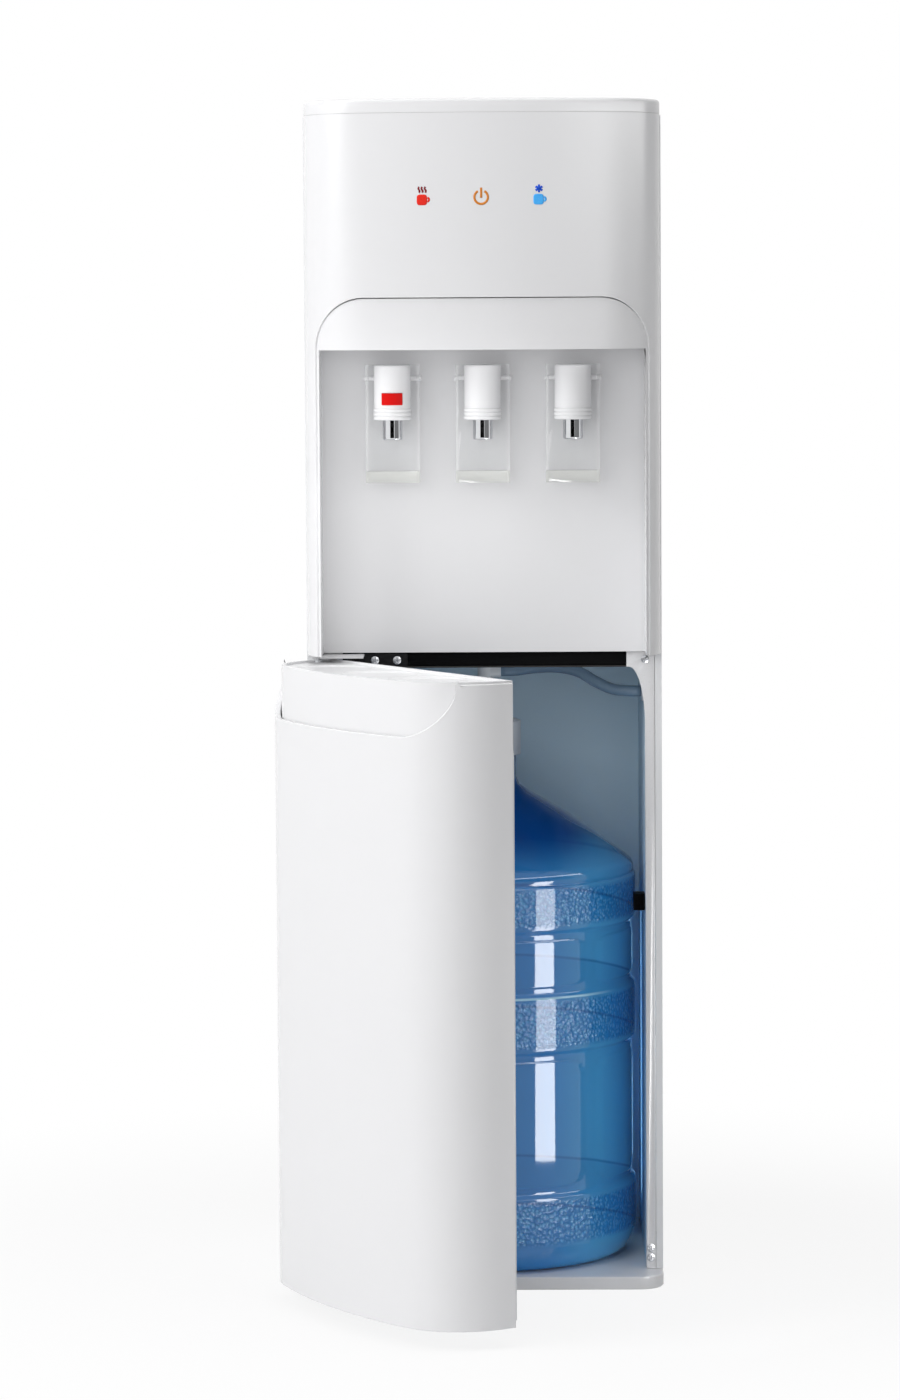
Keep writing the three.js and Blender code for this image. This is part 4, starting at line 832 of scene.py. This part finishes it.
chrome_paint = Paint("chrome", metallic=1.0)
cloud = chrome_paint.noise(60)
chrome_paint.put("Base Color", chrome_paint.mix(cloud, (0.66, 0.67, 0.69), (0.74, 0.75, 0.77)))
chrome_paint.put("Roughness", 0.05 + 0.05 * chrome_paint.noise(300, 3))

SPOUT_RADIUS = 8.7
SPOUT_BORE = 5.5
BORE_DEPTH = 14
SPOUT_MOUTH = extent("hot_spout")[0][2]


def spout_profile():
    """Down from inside the bore, round the mouth, and up the outside into the tap."""
    lip = (SPOUT_RADIUS - SPOUT_BORE) / 2
    foot, top = SPOUT_MOUTH + lip, TAP_FOOT + 5.5
    turn = np.linspace(math.pi, 2 * math.pi, 11)
    mouth = [(SPOUT_BORE + lip + lip * math.cos(t), foot + lip * math.sin(t)) for t in turn]
    bore = [(0.01, SPOUT_MOUTH + BORE_DEPTH), (SPOUT_BORE, SPOUT_MOUTH + BORE_DEPTH)]
    outside = [(SPOUT_RADIUS, foot + 0.25), (SPOUT_RADIUS, top - 0.3), (SPOUT_RADIUS, top)]
    return [*bore, *mouth, *outside, (0.01, top)]


for tap_name, tap_x in (("hot", -TAP_SPACING), ("normal", 0), ("cold", TAP_SPACING)):
    mouth = make_mesh(tap_name + "_spout_tube", [lathe(spout_profile(), tap_x, TAP_Y)])
    sharpen(mouth, 50)
    finish_piece(mouth, chrome_paint.material, "chrome", "cooler", tap_name + "_spout")

# ---- Water bottle ----
# The big bottle stands on the base behind the door: blow-moulded translucent blue PET, full of
# water, with three hammered ring bands, two smooth waists with raised panels and a domed shoulder.

BOTTLE_LOW, BOTTLE_HIGH = extent("water_bottle")
BOTTLE_RADIUS = BOTTLE_HIGH[0]
BOTTLE_X, BOTTLE_Y = (BOTTLE_LOW[:2] + BOTTLE_HIGH[:2]) / 2
BOTTLE_RISE = BOTTLE_HIGH[2] - BOTTLE_LOW[2]
NECK = 27.5 / 135
# The body's outline, in shares of the radius and of the height. Three ring bands of the full
# radius swell out of the narrower waist.
WAIST = 0.973
BODY_FOOT = 0.0418
BANDS = ((0.048, 0.137), (0.416, 0.511), (0.6413, 0.7186))
BAND_ROLL = 0.012
# (radius, height) shares up the foot, and up the shoulder, the neck and its inside.
FOOT_LINE = (
    (0.0001, 0.0188), (0.55, 0.0146), (0.76, 0.003), (0.8, 0), (0.865, 0),
    (0.92, 0.0042), (0.965, 0.0167), (0.985, 0.0334),
)
SHOULDER_LINE = (
    (0.997, 0.7199), (0.986, 0.7212), (0.982, 0.7228), (0.987, 0.7248), (0.9885, 0.730),
    (0.985, 0.737), (0.975, 0.7432), (0.945, 0.7508), (0.904, 0.7599), (0.704, 0.8038),
    (0.5, 0.8413), (0.3, 0.8727), (0.225, 0.8873), (NECK, 0.902), (NECK, 0.999),
    (0.19, 1.0), (0.17, 0.999), (0.165, 0.9), (0.0001, 0.9),
)
WAISTS = [(below[1], above[0]) for below, above in zip(BANDS, BANDS[1:])]
PANEL_RAISE = 1.1
PANEL_COUNT = 8
PANEL_SHARE = 0.40  # half a panel's width, in its bay
PANEL_MARGIN = 0.022  # from a panel to the band, as a share of the height


def band_share(rise):
    """Share of the full radius at a height: the waist's, swelling to 1 over each ring band."""
    swell = np.zeros_like(rise)
    for low, high in BANDS:
        foot = smooth_step((rise - low + BAND_ROLL) / BAND_ROLL)
        top = smooth_step((high + BAND_ROLL - rise) / BAND_ROLL)
        swell = np.maximum(swell, foot * top)
    return WAIST + (1 - WAIST) * swell


def raised_panels(turn, rise):
    """Relief of the panels on the waists: a rounded rectangle in each of eight bays."""
    bay = (turn / (2 * math.pi) * PANEL_COUNT) % 1
    relief = 0
    for low, high in WAISTS:
        across = np.abs(bay - 0.5) / PANEL_SHARE
        middle, half = (low + high) / 2, (high - low) / 2
        up = np.abs(rise - middle) / (half - PANEL_MARGIN)
        square = (across**6 + np.clip(up, 0, 3) ** 6) ** (1 / 6)
        relief = np.maximum(relief, smooth_step((1.02 - square) / 0.035))
    return PANEL_RAISE * relief


def bottle_patch():
    """The bottle as one turned surface: foot, bands and waists, shoulder and neck, with the
    waists' panels raised from it."""
    body = np.linspace(BODY_FOOT, BANDS[-1][1], 330)
    share = band_share(body)
    start = body < BANDS[0][0]
    swell = smooth_step((body[start] - BODY_FOOT) / (BANDS[0][0] - BODY_FOOT))
    share[start] = 0.995 + 0.005 * swell
    profile = [*FOOT_LINE, *zip(share, body), *SHOULDER_LINE]
    radius, rise = np.array(profile).T[:, :, None]
    turn = full_turn(192)
    sides = radius * BOTTLE_RADIUS + raised_panels(turn, rise) * (radius > 0.9)
    x, y = BOTTLE_X + sides * np.cos(turn), BOTTLE_Y + sides * np.sin(turn)
    return round_patch(spread(x, y, BOTTLE_LOW[2] + rise * BOTTLE_RISE))


# In metres, as the material sees its place.
FAR_WALL = 0.136  # radius at which the far side is painted
LOOK_DOWN = math.radians(8.8)  # slope at which it shows through
LINE = 0.0022  # half the width of a far band's edge
PAINTED_HIGHLIGHT_HEIGHT = (0.2562, 0.2592)  # a painted highlight line over the middle band
SHOULDER_SHADE_HEIGHT = (0.362, 0.40)  # over which painted shade darkens the blue


def bottle_finish():
    """Blue plastic with water behind it, painted paler towards the window light at the right. The
    ring bands are hammered; the light and shade of their dimples is painted into their colour, with
    painted shade towards their right. The far side's bands, seen through the bottle, are painted on
    its front. A highlight line over the middle band and shade over the shoulder are painted as
    well."""
    paint = Paint("bottle_blue", coat_weight=0.5, coat_roughness=0.02, specular_ior_level=0.25)
    height, across = paint.along("Z"), paint.along("X")
    bands = [[(BOTTLE_LOW[2] + share * BOTTLE_RISE) * MM for share in band] for band in BANDS]
    band_mask = sum(paint.within(height, low, high, 0.006, 0.004) for low, high in bands)
    # Painted light: the water is painted paler towards the window light at the right and darker
    # away from it.
    painted_window_light = paint.ramp(across, 0.045, 0.105)
    water = paint.mix(painted_window_light, (0.018, 0.23, 0.66), (0.075, 0.42, 0.82))
    water = paint.mix(0.5 * paint.noise(9), water, (0.08, 0.29, 0.55))

    cells = {"Vector": paint.place, "Scale": 300, "Smoothness": 0.35, "Randomness": 1}
    hammer = paint.node("ShaderNodeTexVoronoi", {"feature": "SMOOTH_F1"}, cells)
    ripple = paint.noise(420, 3)
    painted_dimple_light = paint.ramp(hammer + 0.5 * ripple, 0.42, 0.85)
    # Painted light and shade: the bands' colour goes lighter and darker with the hammered dimples,
    # as light falls on the relief; the bump gives the relief itself.
    ring = paint.mix(painted_dimple_light, (0.13, 0.46, 0.82), (0.010, 0.20, 0.56))
    # Painted shade: the bands are painted a darker, deeper blue towards the right.
    ring = paint.mix(0.55 * paint.ramp(across, 0.075, 0.125), ring, (0.0, 0.20, 0.64))
    water = paint.mix(0.8 * band_mask, water, ring)

    # The height at which a look through the bottle meets its far wall.
    chord = paint.node("ShaderNodeMath", {"operation": "SQRT"}, {0: FAR_WALL**2 - across * across})
    beyond = height - 2 * math.tan(LOOK_DOWN) * chord
    for low, high in bands:
        for edge in (low, high):
            line = paint.within(beyond, edge - LINE, edge + LINE, LINE, LINE)
            water = paint.mix(0.6 * line, water, (0.006, 0.10, 0.36))
        veil = paint.within(beyond, low, high, 0.003, 0.003)
        water = paint.mix(0.22 * veil * (1 - band_mask), water, (0.010, 0.16, 0.46))

    # Painted highlight: a pale bright line over the middle band, fading out towards the right edge.
    painted_highlight = paint.within(height, *PAINTED_HIGHLIGHT_HEIGHT, 0.0010, 0.0012) * paint.ramp(across, 0.118, 0.085)
    water = paint.mix(0.75 * painted_highlight, water, (0.50, 0.86, 1.0))
    # Painted shade: the shoulder is painted a darker blue, lighter towards the right where the rim
    # light falls.
    shoulder_shade = paint.mix(paint.ramp(across, 0.07, 0.125), (0.0, 0.060, 0.29), (0.008, 0.25, 0.56))
    paint.put("Base Color", paint.mix(paint.ramp(height, *SHOULDER_SHADE_HEIGHT), water, shoulder_shade))
    paint.put("Roughness", 0.06 + 0.10 * band_mask)
    paint.bump((hammer + 0.45 * ripple) * band_mask, 1.6, 0.9)
    return paint.material


bottle_blue = bottle_finish()
bottle = make_mesh("bottle", [bottle_patch()])
finish_piece(bottle, bottle_blue, "bottle_blue", "cooler", "water_bottle")

# ---- Screws ----
# Pan head screws with a cross recess, of stainless steel: three in the right pillar and two in the
# hinge bracket. The door catch's own is black.

HEAD_DEEP = 1.5
DOME_RINGS = 24
ARM_HALF = 0.17  # half the width of a cross's arm, and its reach, in shares of the radius
ARM_REACH = 0.66


def screw_head(middle, radius):
    """A low dome facing the front with a cross sunk in its middle, its side, and a flat back.
    Middle is the front-most point; the dome falls back as the square of the reach."""
    share = np.concatenate([np.linspace(0.01, 1, DOME_RINGS), [1, 0.01]])[:, None]
    turn = full_turn(72)[None]
    u, v = share * np.cos(turn), share * np.sin(turn)
    arm = np.minimum(np.abs(u), np.abs(v))
    cross = smooth_step((ARM_HALF - arm) / 0.08) * smooth_step((ARM_REACH - share) / 0.1)
    fall = radius * (0.22 * share**2 + 0.3 * cross)
    fall[DOME_RINGS:] = HEAD_DEEP
    x, z = middle[0] + radius * u, middle[2] + radius * v
    return round_patch(spread(x, middle[1] + fall, z), True)


def brushed_finish(name, dark, light, roughness, metallic=1.0):
    """Metal with a brushed line along X."""
    paint = Paint(name, metallic=metallic)
    line = paint.noise(220, 3, (0.05, 1, 1))
    paint.put("Base Color", paint.mix(line, dark, light))
    paint.put("Roughness", roughness + 0.12 * line)
    paint.bump(line, 0.006)
    return paint.material


stainless = brushed_finish("stainless", (0.46, 0.47, 0.49), (0.62, 0.63, 0.65), 0.24)
screws = [f"frame_screw_{i}" for i in (1, 2, 3)] + [f"hinge_screw_{i}" for i in (1, 2)]
for screw in screws:
    low, high = extent(screw)
    front = ((low[0] + high[0]) / 2, low[1], (low[2] + high[2]) / 2)
    made = make_mesh(screw + "_head", [screw_head(front, (high[0] - low[0]) / 2)])
    finish_piece(made, stainless, "stainless", "cooler", screw)

# ---- Pieces that keep their CAD shape ----
# Frame, lining, steel sheets, cooling parts, levers, brackets and small parts have their right
# shape already. Each keeps it, in the finish of what it is made of, and some have eased edges.

def painted_steel_finish():
    """Powder coat: a fine orange peel over flat sheet, a little duller where it was handled."""
    paint = Paint("painted_steel")
    paint.put("Base Color", paint.mix(paint.noise(5), (0.76, 0.77, 0.78), (0.79, 0.80, 0.81)))
    paint.put("Roughness", 0.32 + 0.08 * paint.ramp(paint.noise(14, 4), 0.5, 0.8))
    paint.bump(paint.noise(1100, 1), 0.02)
    return paint.material


def sheet_zinc_finish():
    """Galvanised sheet: crystals of zinc, each its own grey."""
    paint = Paint("galvanised", metallic=0.85)
    sockets = {"Vector": paint.place, "Scale": 140}
    crystal = paint.node("ShaderNodeTexVoronoi", None, sockets, "Color")
    grey = paint.node("ShaderNodeRGBToBW", None, {0: crystal})
    paint.put("Base Color", paint.mix(grey, (0.42, 0.44, 0.46), (0.60, 0.62, 0.64)))
    paint.put("Roughness", 0.34 + 0.16 * grey)
    return paint.material


PAD_RISE = 10  # of a lever's pad, from its foot


def clear_finish():
    """Clear moulded plastic, seen through: faint in a thin wall, and a little grey and green
    where a lever's pad is thick."""
    paint = Paint("clear_plastic", coat_weight=0.6, coat_roughness=0.03)
    pad_top = (extent("hot_lever")[0][2] + PAD_RISE) * MM
    thick = paint.ramp(paint.along("Z"), pad_top + 0.4 * MM, pad_top)
    colour = paint.mix(paint.noise(20), (0.80, 0.81, 0.82), (0.86, 0.87, 0.88))
    paint.put("Base Color", paint.mix(thick, colour, (0.66, 0.67, 0.64)))
    paint.put("Roughness", 0.10 + 0.06 * paint.noise(200, 3))
    paint.put("Alpha", 0.24 + 0.26 * thick)
    return paint.material


def bracket_finish():
    """The hinge bracket: white powder coat on the ear over the door, black on the leaf that is
    screwed to the crossbar."""
    paint = Paint("bracket_paint", specular_ior_level=0.2)
    leaf = paint.ramp(paint.along("Y"), (FRONT - 1.2) * MM, (FRONT - 0.8) * MM)
    paint.put("Base Color", paint.mix(leaf, (0.66, 0.66, 0.67), (0.003, 0.003, 0.004)))
    paint.put("Roughness", 0.4 + 0.1 * paint.noise(60))
    paint.bump(paint.noise(1100, 1), 0.02)
    return paint.material


LIP_RISE = 3.2  # of the crossbar's lip, under its cover


def frame_finish():
    """The front frame: glossy white, and black along the crossbar's lower lip, which shows as
    one dark line with the crossbar's cover."""
    paint = Paint("frame_paint")
    low, high = (corner * MM for corner in extent("crossbar_cover"))
    foot, top = low[2] - LIP_RISE * MM, high[2] - 0.3 * MM
    lip = paint.within(paint.along("Z"), foot, top, 0.2 * MM, 0.2 * MM)
    soft = 0.5 * MM
    lip *= paint.within(paint.along("X"), low[0] - soft, high[0] + soft, soft, soft)
    paint.put("Base Color", paint.mix(lip, WHITE, (0.002, 0.002, 0.002)))
    paint.put("Roughness", 0.26 + 0.04 * paint.noise(900, 1) + 0.3 * lip)
    paint.bump(paint.noise(900, 2), 0.004)
    return paint.material


def board_finish():
    """Green solder mask with fine copper lines under it, a brick pattern of a lighter green."""
    paint = Paint("board_green")
    sockets = {"Vector": paint.place, "Scale": 90, "Mortar Size": 0.03}
    brick = paint.node("ShaderNodeTexBrick", None, sockets, "Fac")
    paint.put("Base Color", paint.mix(brick, (0.012, 0.10, 0.03), (0.03, 0.20, 0.07)))
    paint.put("Roughness", 0.35 + 0.1 * brick)
    paint.bump(brick, 0.03)
    return paint.material


plastic = moulded_plastic
made = [
    white_plastic,
    chrome_paint.material,
    stainless,
    red_plastic,
    bottle_blue,
    painted_steel_finish(),
    sheet_zinc_finish(),
    clear_finish(),
    board_finish(),
    brushed_finish("black_steel", (0.010, 0.010, 0.011), (0.022, 0.022, 0.024), 0.42, 0.3),
    plastic("inner_white", (0.66, 0.68, 0.70), 0.42, depth=0.012),
    plastic("black_plastic", (0.0015, 0.0015, 0.002), 0.6, 1400, 0.02, mottle=0.3, shine=0.06),
    plastic("green_plastic", (0.02, 0.28, 0.05), 0.3, mottle=0.1),
    plastic("rubber", (0.016, 0.017, 0.018), 0.85, 500, 0.05, mottle=0.3),
    plastic("hose_blue", (0.17, 0.26, 0.36), 0.35, coat=0.3, mottle=0.1),
    plastic("foam", (0.78, 0.77, 0.70), 0.95, 350, 0.4, mottle=0.1),
]
# The CAD's own materials have these names too, so Blender adds a number after a dot.
finishes = {material.name.split(".")[0]: material for material in made}
# Pieces whose finish differs from that of their slot.
own_finish = {
    # Painted light: the white liner is tinted pale blue for the blue light that the bottle throws
    # on it, and made lighter than the white plastic to stand for the light inside the compartment.
    "compartment_liner": plastic("liner_blue_bounce", (0.70, 0.89, 1.0), 0.45, depth=0.012),
    "upper_hinge_bracket": bracket_finish(),
    "front_frame": frame_finish(),
}
EASED = {
    0.3: ("upper_hinge_bracket", "lower_hinge_bracket"),
    0.4: ("crossbar_cover",),
    0.5: ("switch_plate", "door_liner", "probe_cap"),
    0.6: ("drain_cap",),
    0.7: ("hot_lever", "normal_lever", "cold_lever"),
    0.8: ("front_frame", "door_catch", "power_inlet", "hot_switch", "cold_switch"),
    1.0: ("water_pump",),
}
ease_of = {node: width for width, nodes in EASED.items() for node in nodes}
slot_of = {part["node"]: part["material_slot"] for part in frame["record"]["subparts"]}
ROUND = ("suction_hose", "compressor", "cold_tank", "hot_tank", "cold_tank_jacket")
for name, node in frame["nodes"].items():
    if node.hide_render:
        continue
    if name in ease_of or name in ROUND:
        weld = node.modifiers.new("joined", "WELD")
        weld.merge_threshold = 0.002 * MM
        node.data.shade_smooth()
    if name in ease_of:
        ease_edges(node, ease_of[name], 2)
    node.data.materials.clear()
    node.data.materials.append(own_finish.get(name, finishes[slot_of[name]]))

# ---- Condenser ----
# The heat exchanger behind the cooler: one steel tube bent to and fro in nine runs, with straight
# wires welded across it and four standoffs, all painted black.

COIL_LOW, COIL_HIGH = extent("condenser")
COIL_TUBE = 2.4
COIL_RUNS = 9
WIRE_RADIUS = 0.8
WIRE_COUNT = 11
WIRE_END = 8  # of the wires, past the outer runs
POST_RADIUS = 4
POST_DROP = 20  # from the outer runs
COIL_Y = COIL_HIGH[1] - COIL_TUBE
COIL_FOOT, COIL_TOP = COIL_LOW[2] + WIRE_END, COIL_HIGH[2] - WIRE_END
COIL_PITCH = (COIL_TOP - COIL_FOOT) / (COIL_RUNS - 1)
COIL_STRAIGHT = COIL_HIGH[0] - COIL_TUBE - COIL_PITCH / 2
WIRE_Y = COIL_Y - COIL_TUBE
WIRE_REACH = COIL_STRAIGHT - 6


def coil_route():
    """(x, z) points of the tube's middle: level runs joined by half circles, turn about."""
    bend = np.linspace(-math.pi / 2, math.pi / 2, 19)[1:-1]
    turn = COIL_PITCH / 2
    lines = []
    for run in range(COIL_RUNS):
        side = 1 if run % 2 == 0 else -1
        z = COIL_FOOT + run * COIL_PITCH
        lines.append(straight(-side * COIL_STRAIGHT, z, side * COIL_STRAIGHT, z, 9))
        across = side * (COIL_STRAIGHT + turn * np.cos(bend))
        lines.append(np.stack([across, z + turn + turn * np.sin(bend)], -1))
    lines.pop()  # no bend after the last run
    return np.concatenate(lines)


def bent_tube(route, y, radius, sides=14):
    """A round tube along a route of (x, z) points at one depth: rings square to the route, a
    small one at each end to close it."""
    along = np.gradient(route, axis=0)
    along /= np.linalg.norm(along, axis=1, keepdims=True)
    aside = np.stack([-along[:, 1], along[:, 0]], -1)
    turn = full_turn(sides)
    rows = np.concatenate([[0], np.arange(len(route)), [len(route) - 1]])
    reach = np.full(len(rows), radius)
    reach[[0, -1]] = 0.01
    out = (reach[:, None] * np.cos(turn))[..., None]
    flat = route[rows, None] + out * aside[rows, None]
    depth = y + reach[:, None] * np.sin(turn)
    return round_patch(spread(flat[..., 0], depth, flat[..., 1]), True)


coil_patches = [bent_tube(coil_route(), COIL_Y, COIL_TUBE)]
low, high = COIL_LOW[2], COIL_HIGH[2]
rod = [(0.01, low), (WIRE_RADIUS, low), (WIRE_RADIUS, high), (0.01, high)]
for x in np.linspace(-WIRE_REACH, WIRE_REACH, WIRE_COUNT):
    coil_patches.append(lathe(rod, x, WIRE_Y, 10))
for x in (-WIRE_REACH, WIRE_REACH):
    for z in (COIL_FOOT + POST_DROP, COIL_TOP - POST_DROP):
        post = bar(POST_RADIUS, COIL_LOW[1], WIRE_Y + WIRE_RADIUS, at=(x, z), sides=24)
        coil_patches.append(post)
coil = make_mesh("condenser_coil", coil_patches)
sharpen(coil, 50)
finish_piece(coil, finishes["black_steel"], "black_steel", "cooler", "condenser")

# ---- Studio ----
# A pale floor that fades to white away from the cooler, and a white room for reflections. A large
# soft key stands at the upper left, a broad fill in front, one lamp above and a strip at the
# right. The small lamps stand for light that bounces about in the niche, the tray and the bottle.

FLOOR_HALF = 30
FLOOR_GREY = (0.82, 0.82, 0.83)
FLOOR_GLOW = 0.86  # share of white in the floor near the cooler; further off it is all white
ROOM_LIGHT = 0.28


def stage_card(name, corners, paint):
    """A flat sheet that belongs to the studio, in metres."""
    mesh = bpy.data.meshes.new(name)
    mesh.from_pydata(corners, [], [(0, 1, 2, 3)])
    mesh.materials.append(paint.material)
    card = bpy.data.objects.new(name, mesh)
    bpy.context.collection.objects.link(card)
    return card


def floor_finish():
    """Matt grey to the lamps, and nearly white to the camera and to shiny things."""
    paint = Paint("floor", roughness=0.9)
    paint.put("Base Color", FLOOR_GREY)
    away = paint.node("ShaderNodeVectorMath", {"operation": "LENGTH"}, {0: paint.place}, "Value")
    share = paint.ramp(away, 0.3, 0.9) * (1 - FLOOR_GLOW) + FLOOR_GLOW
    seen, glossy, through = paint.rays()
    matt, glow = Wire(paint, paint.shader.outputs[0]), paint.node("ShaderNodeEmission")
    sockets = {0: share * (seen + (glossy + through)), 1: matt, 2: glow}
    paint.surface(paint.node("ShaderNodeMixShader", None, sockets))
    return paint


ways = ((-1, -1), (1, -1), (1, 1), (-1, 1))
stage_card("floor", [(x * FLOOR_HALF, y * FLOOR_HALF, 0) for x, y in ways], floor_finish())

world = bpy.data.worlds.new("white room")
bpy.context.scene.world = world
world.use_nodes = True
sky = Nodes(world.node_tree)
room, white = (
    sky.node("ShaderNodeBackground", None, {"Color": (1, 1, 1), "Strength": strength})
    for strength in (ROOM_LIGHT, 1)
)
seen, glossy, through = sky.rays()
direct = seen.maths("MAXIMUM", seen, glossy.maths("MAXIMUM", glossy, through))
sky.surface(sky.node("ShaderNodeMixShader", None, {0: direct, 1: room, 2: white}))


def lamp(name, place, target, size, power, diffuse=True, gloss=True, tint=(1, 1, 1)):
    """A soft rectangular lamp, in metres and watts, turned to face its target."""
    light = bpy.data.lights.new(name, "AREA")
    light.shape = "RECTANGLE"
    light.size, light.size_y = size
    light.energy, light.color = power, tint
    holder = bpy.data.objects.new(name, light)
    holder.location = place
    holder.rotation_euler = (Vector(target) - Vector(place)).to_track_quat("-Z", "Y").to_euler()
    holder.visible_camera, holder.visible_diffuse, holder.visible_glossy = False, diffuse, gloss
    bpy.context.collection.objects.link(holder)


MIDDLE = (0, -0.1, 0.6)
lamp("key", (-2.6, -1.2, 2.1), MIDDLE, (1.6, 2.0), 59)
lamp("fill", (-1.2, -4.82, 1.2), MIDDLE, (4.4, 2.6), 65, gloss=False)
lamp("top", (0.1, -0.5, 3.0), (0, -0.25, 0.6), (2.0, 0.9), 24, gloss=False)
lamp("window", (0.307, -0.395, 0.20), (0.053, -0.154, 0.24), (0.117, 0.30), 1.7, diffuse=False)
BOUNCED = (
    ("niche glow", (-0.05, -0.242, 0.735), (-0.05, 0, 0.76), (0.20, 0.16), 0.033, (1, 1, 1)),
    ("low glow", (-0.06, -0.34, 0.70), (-0.06, -0.1, 0.63), (0.28, 0.12), 0.06, (1, 1, 1)),
    ("tray glow", (-0.09, -0.33, 0.72), (-0.09, -0.28, 0), (0.22, 0.20), 0.07, (1, 1, 1)),
    ("blue bounce", (0.1405, 0.04, 0.18), (0.152, -0.02, 0.18), (0.012, 0.26), 0.05, (0.5, 0.8, 1)),
)
for name, place, target, size, power, tint in BOUNCED:
    lamp(name, place, target, size, power, gloss=False, tint=tint)
lamp("rim strip", (1.1, -0.75, 1.15), (0, -0.1, 0.3), (2.2, 0.22), 11, diffuse=False)


def flag(name, azimuth, distance, width, shade):
    """An upright card that only shiny surfaces see, as photographers set beside chrome. Its
    azimuth is from straight in front, towards +X, and it stands at the spouts' height."""
    turn = math.radians(azimuth)
    middle = Vector((math.sin(turn), -math.cos(turn), 0)) * distance
    aside = Vector((-middle.y, middle.x, 0)).normalized() * width / 2
    low, high = Vector((0, FRONT * MM, 0.46)), Vector((0, FRONT * MM, 0.84))
    left, right = middle - aside, middle + aside
    paint = Paint(name, specular_ior_level=0, base_color=(0, 0, 0))
    paint.put("Emission Color", (1, 1, 1))
    paint.put("Emission Strength", shade)
    card = stage_card(name, (left + low, right + low, right + high, left + high), paint)
    card.visible_camera = card.visible_diffuse = False
    card.visible_shadow = card.visible_transmission = False


flag("black_flag", -5, 2.6, 2.1, 0.0)
flag("grey_flag", 47, 1.1, 1.1, 0.22)

# ---- Camera ----
# It stands a little to the right of the cooler's middle, high enough to look down on the door's
# tray, and far enough back for the narrow view of a product shot.

EYE = (0.027, -4.364, 0.873)
DOWN, ROLL, YAW = math.radians(4.75), math.radians(-0.35), math.radians(-0.78)
FOCAL_PIXELS = 4803
PHOTO_HEIGHT = 1400
SENSOR = 36  # mm, along the picture's longer side
ahead = Vector((math.sin(YAW) * math.cos(DOWN), math.cos(YAW) * math.cos(DOWN), -math.sin(DOWN)))
level = Vector((math.cos(YAW), -math.sin(YAW), 0))
upright = level.cross(ahead)
right = level * math.cos(ROLL) + upright * math.sin(ROLL)
up = upright * math.cos(ROLL) - level * math.sin(ROLL)
camera_data = bpy.data.cameras.new("camera")
camera_data.sensor_width = SENSOR
camera_data.lens = FOCAL_PIXELS / PHOTO_HEIGHT * SENSOR
camera_data.clip_end = 100
camera = bpy.data.objects.new("camera", camera_data)
camera.matrix_world = Matrix((right, up, -ahead)).transposed().to_4x4()
camera.location = EYE
bpy.context.collection.objects.link(camera)
bpy.context.scene.camera = camera
bpy.context.scene.view_settings.view_transform = "Standard"
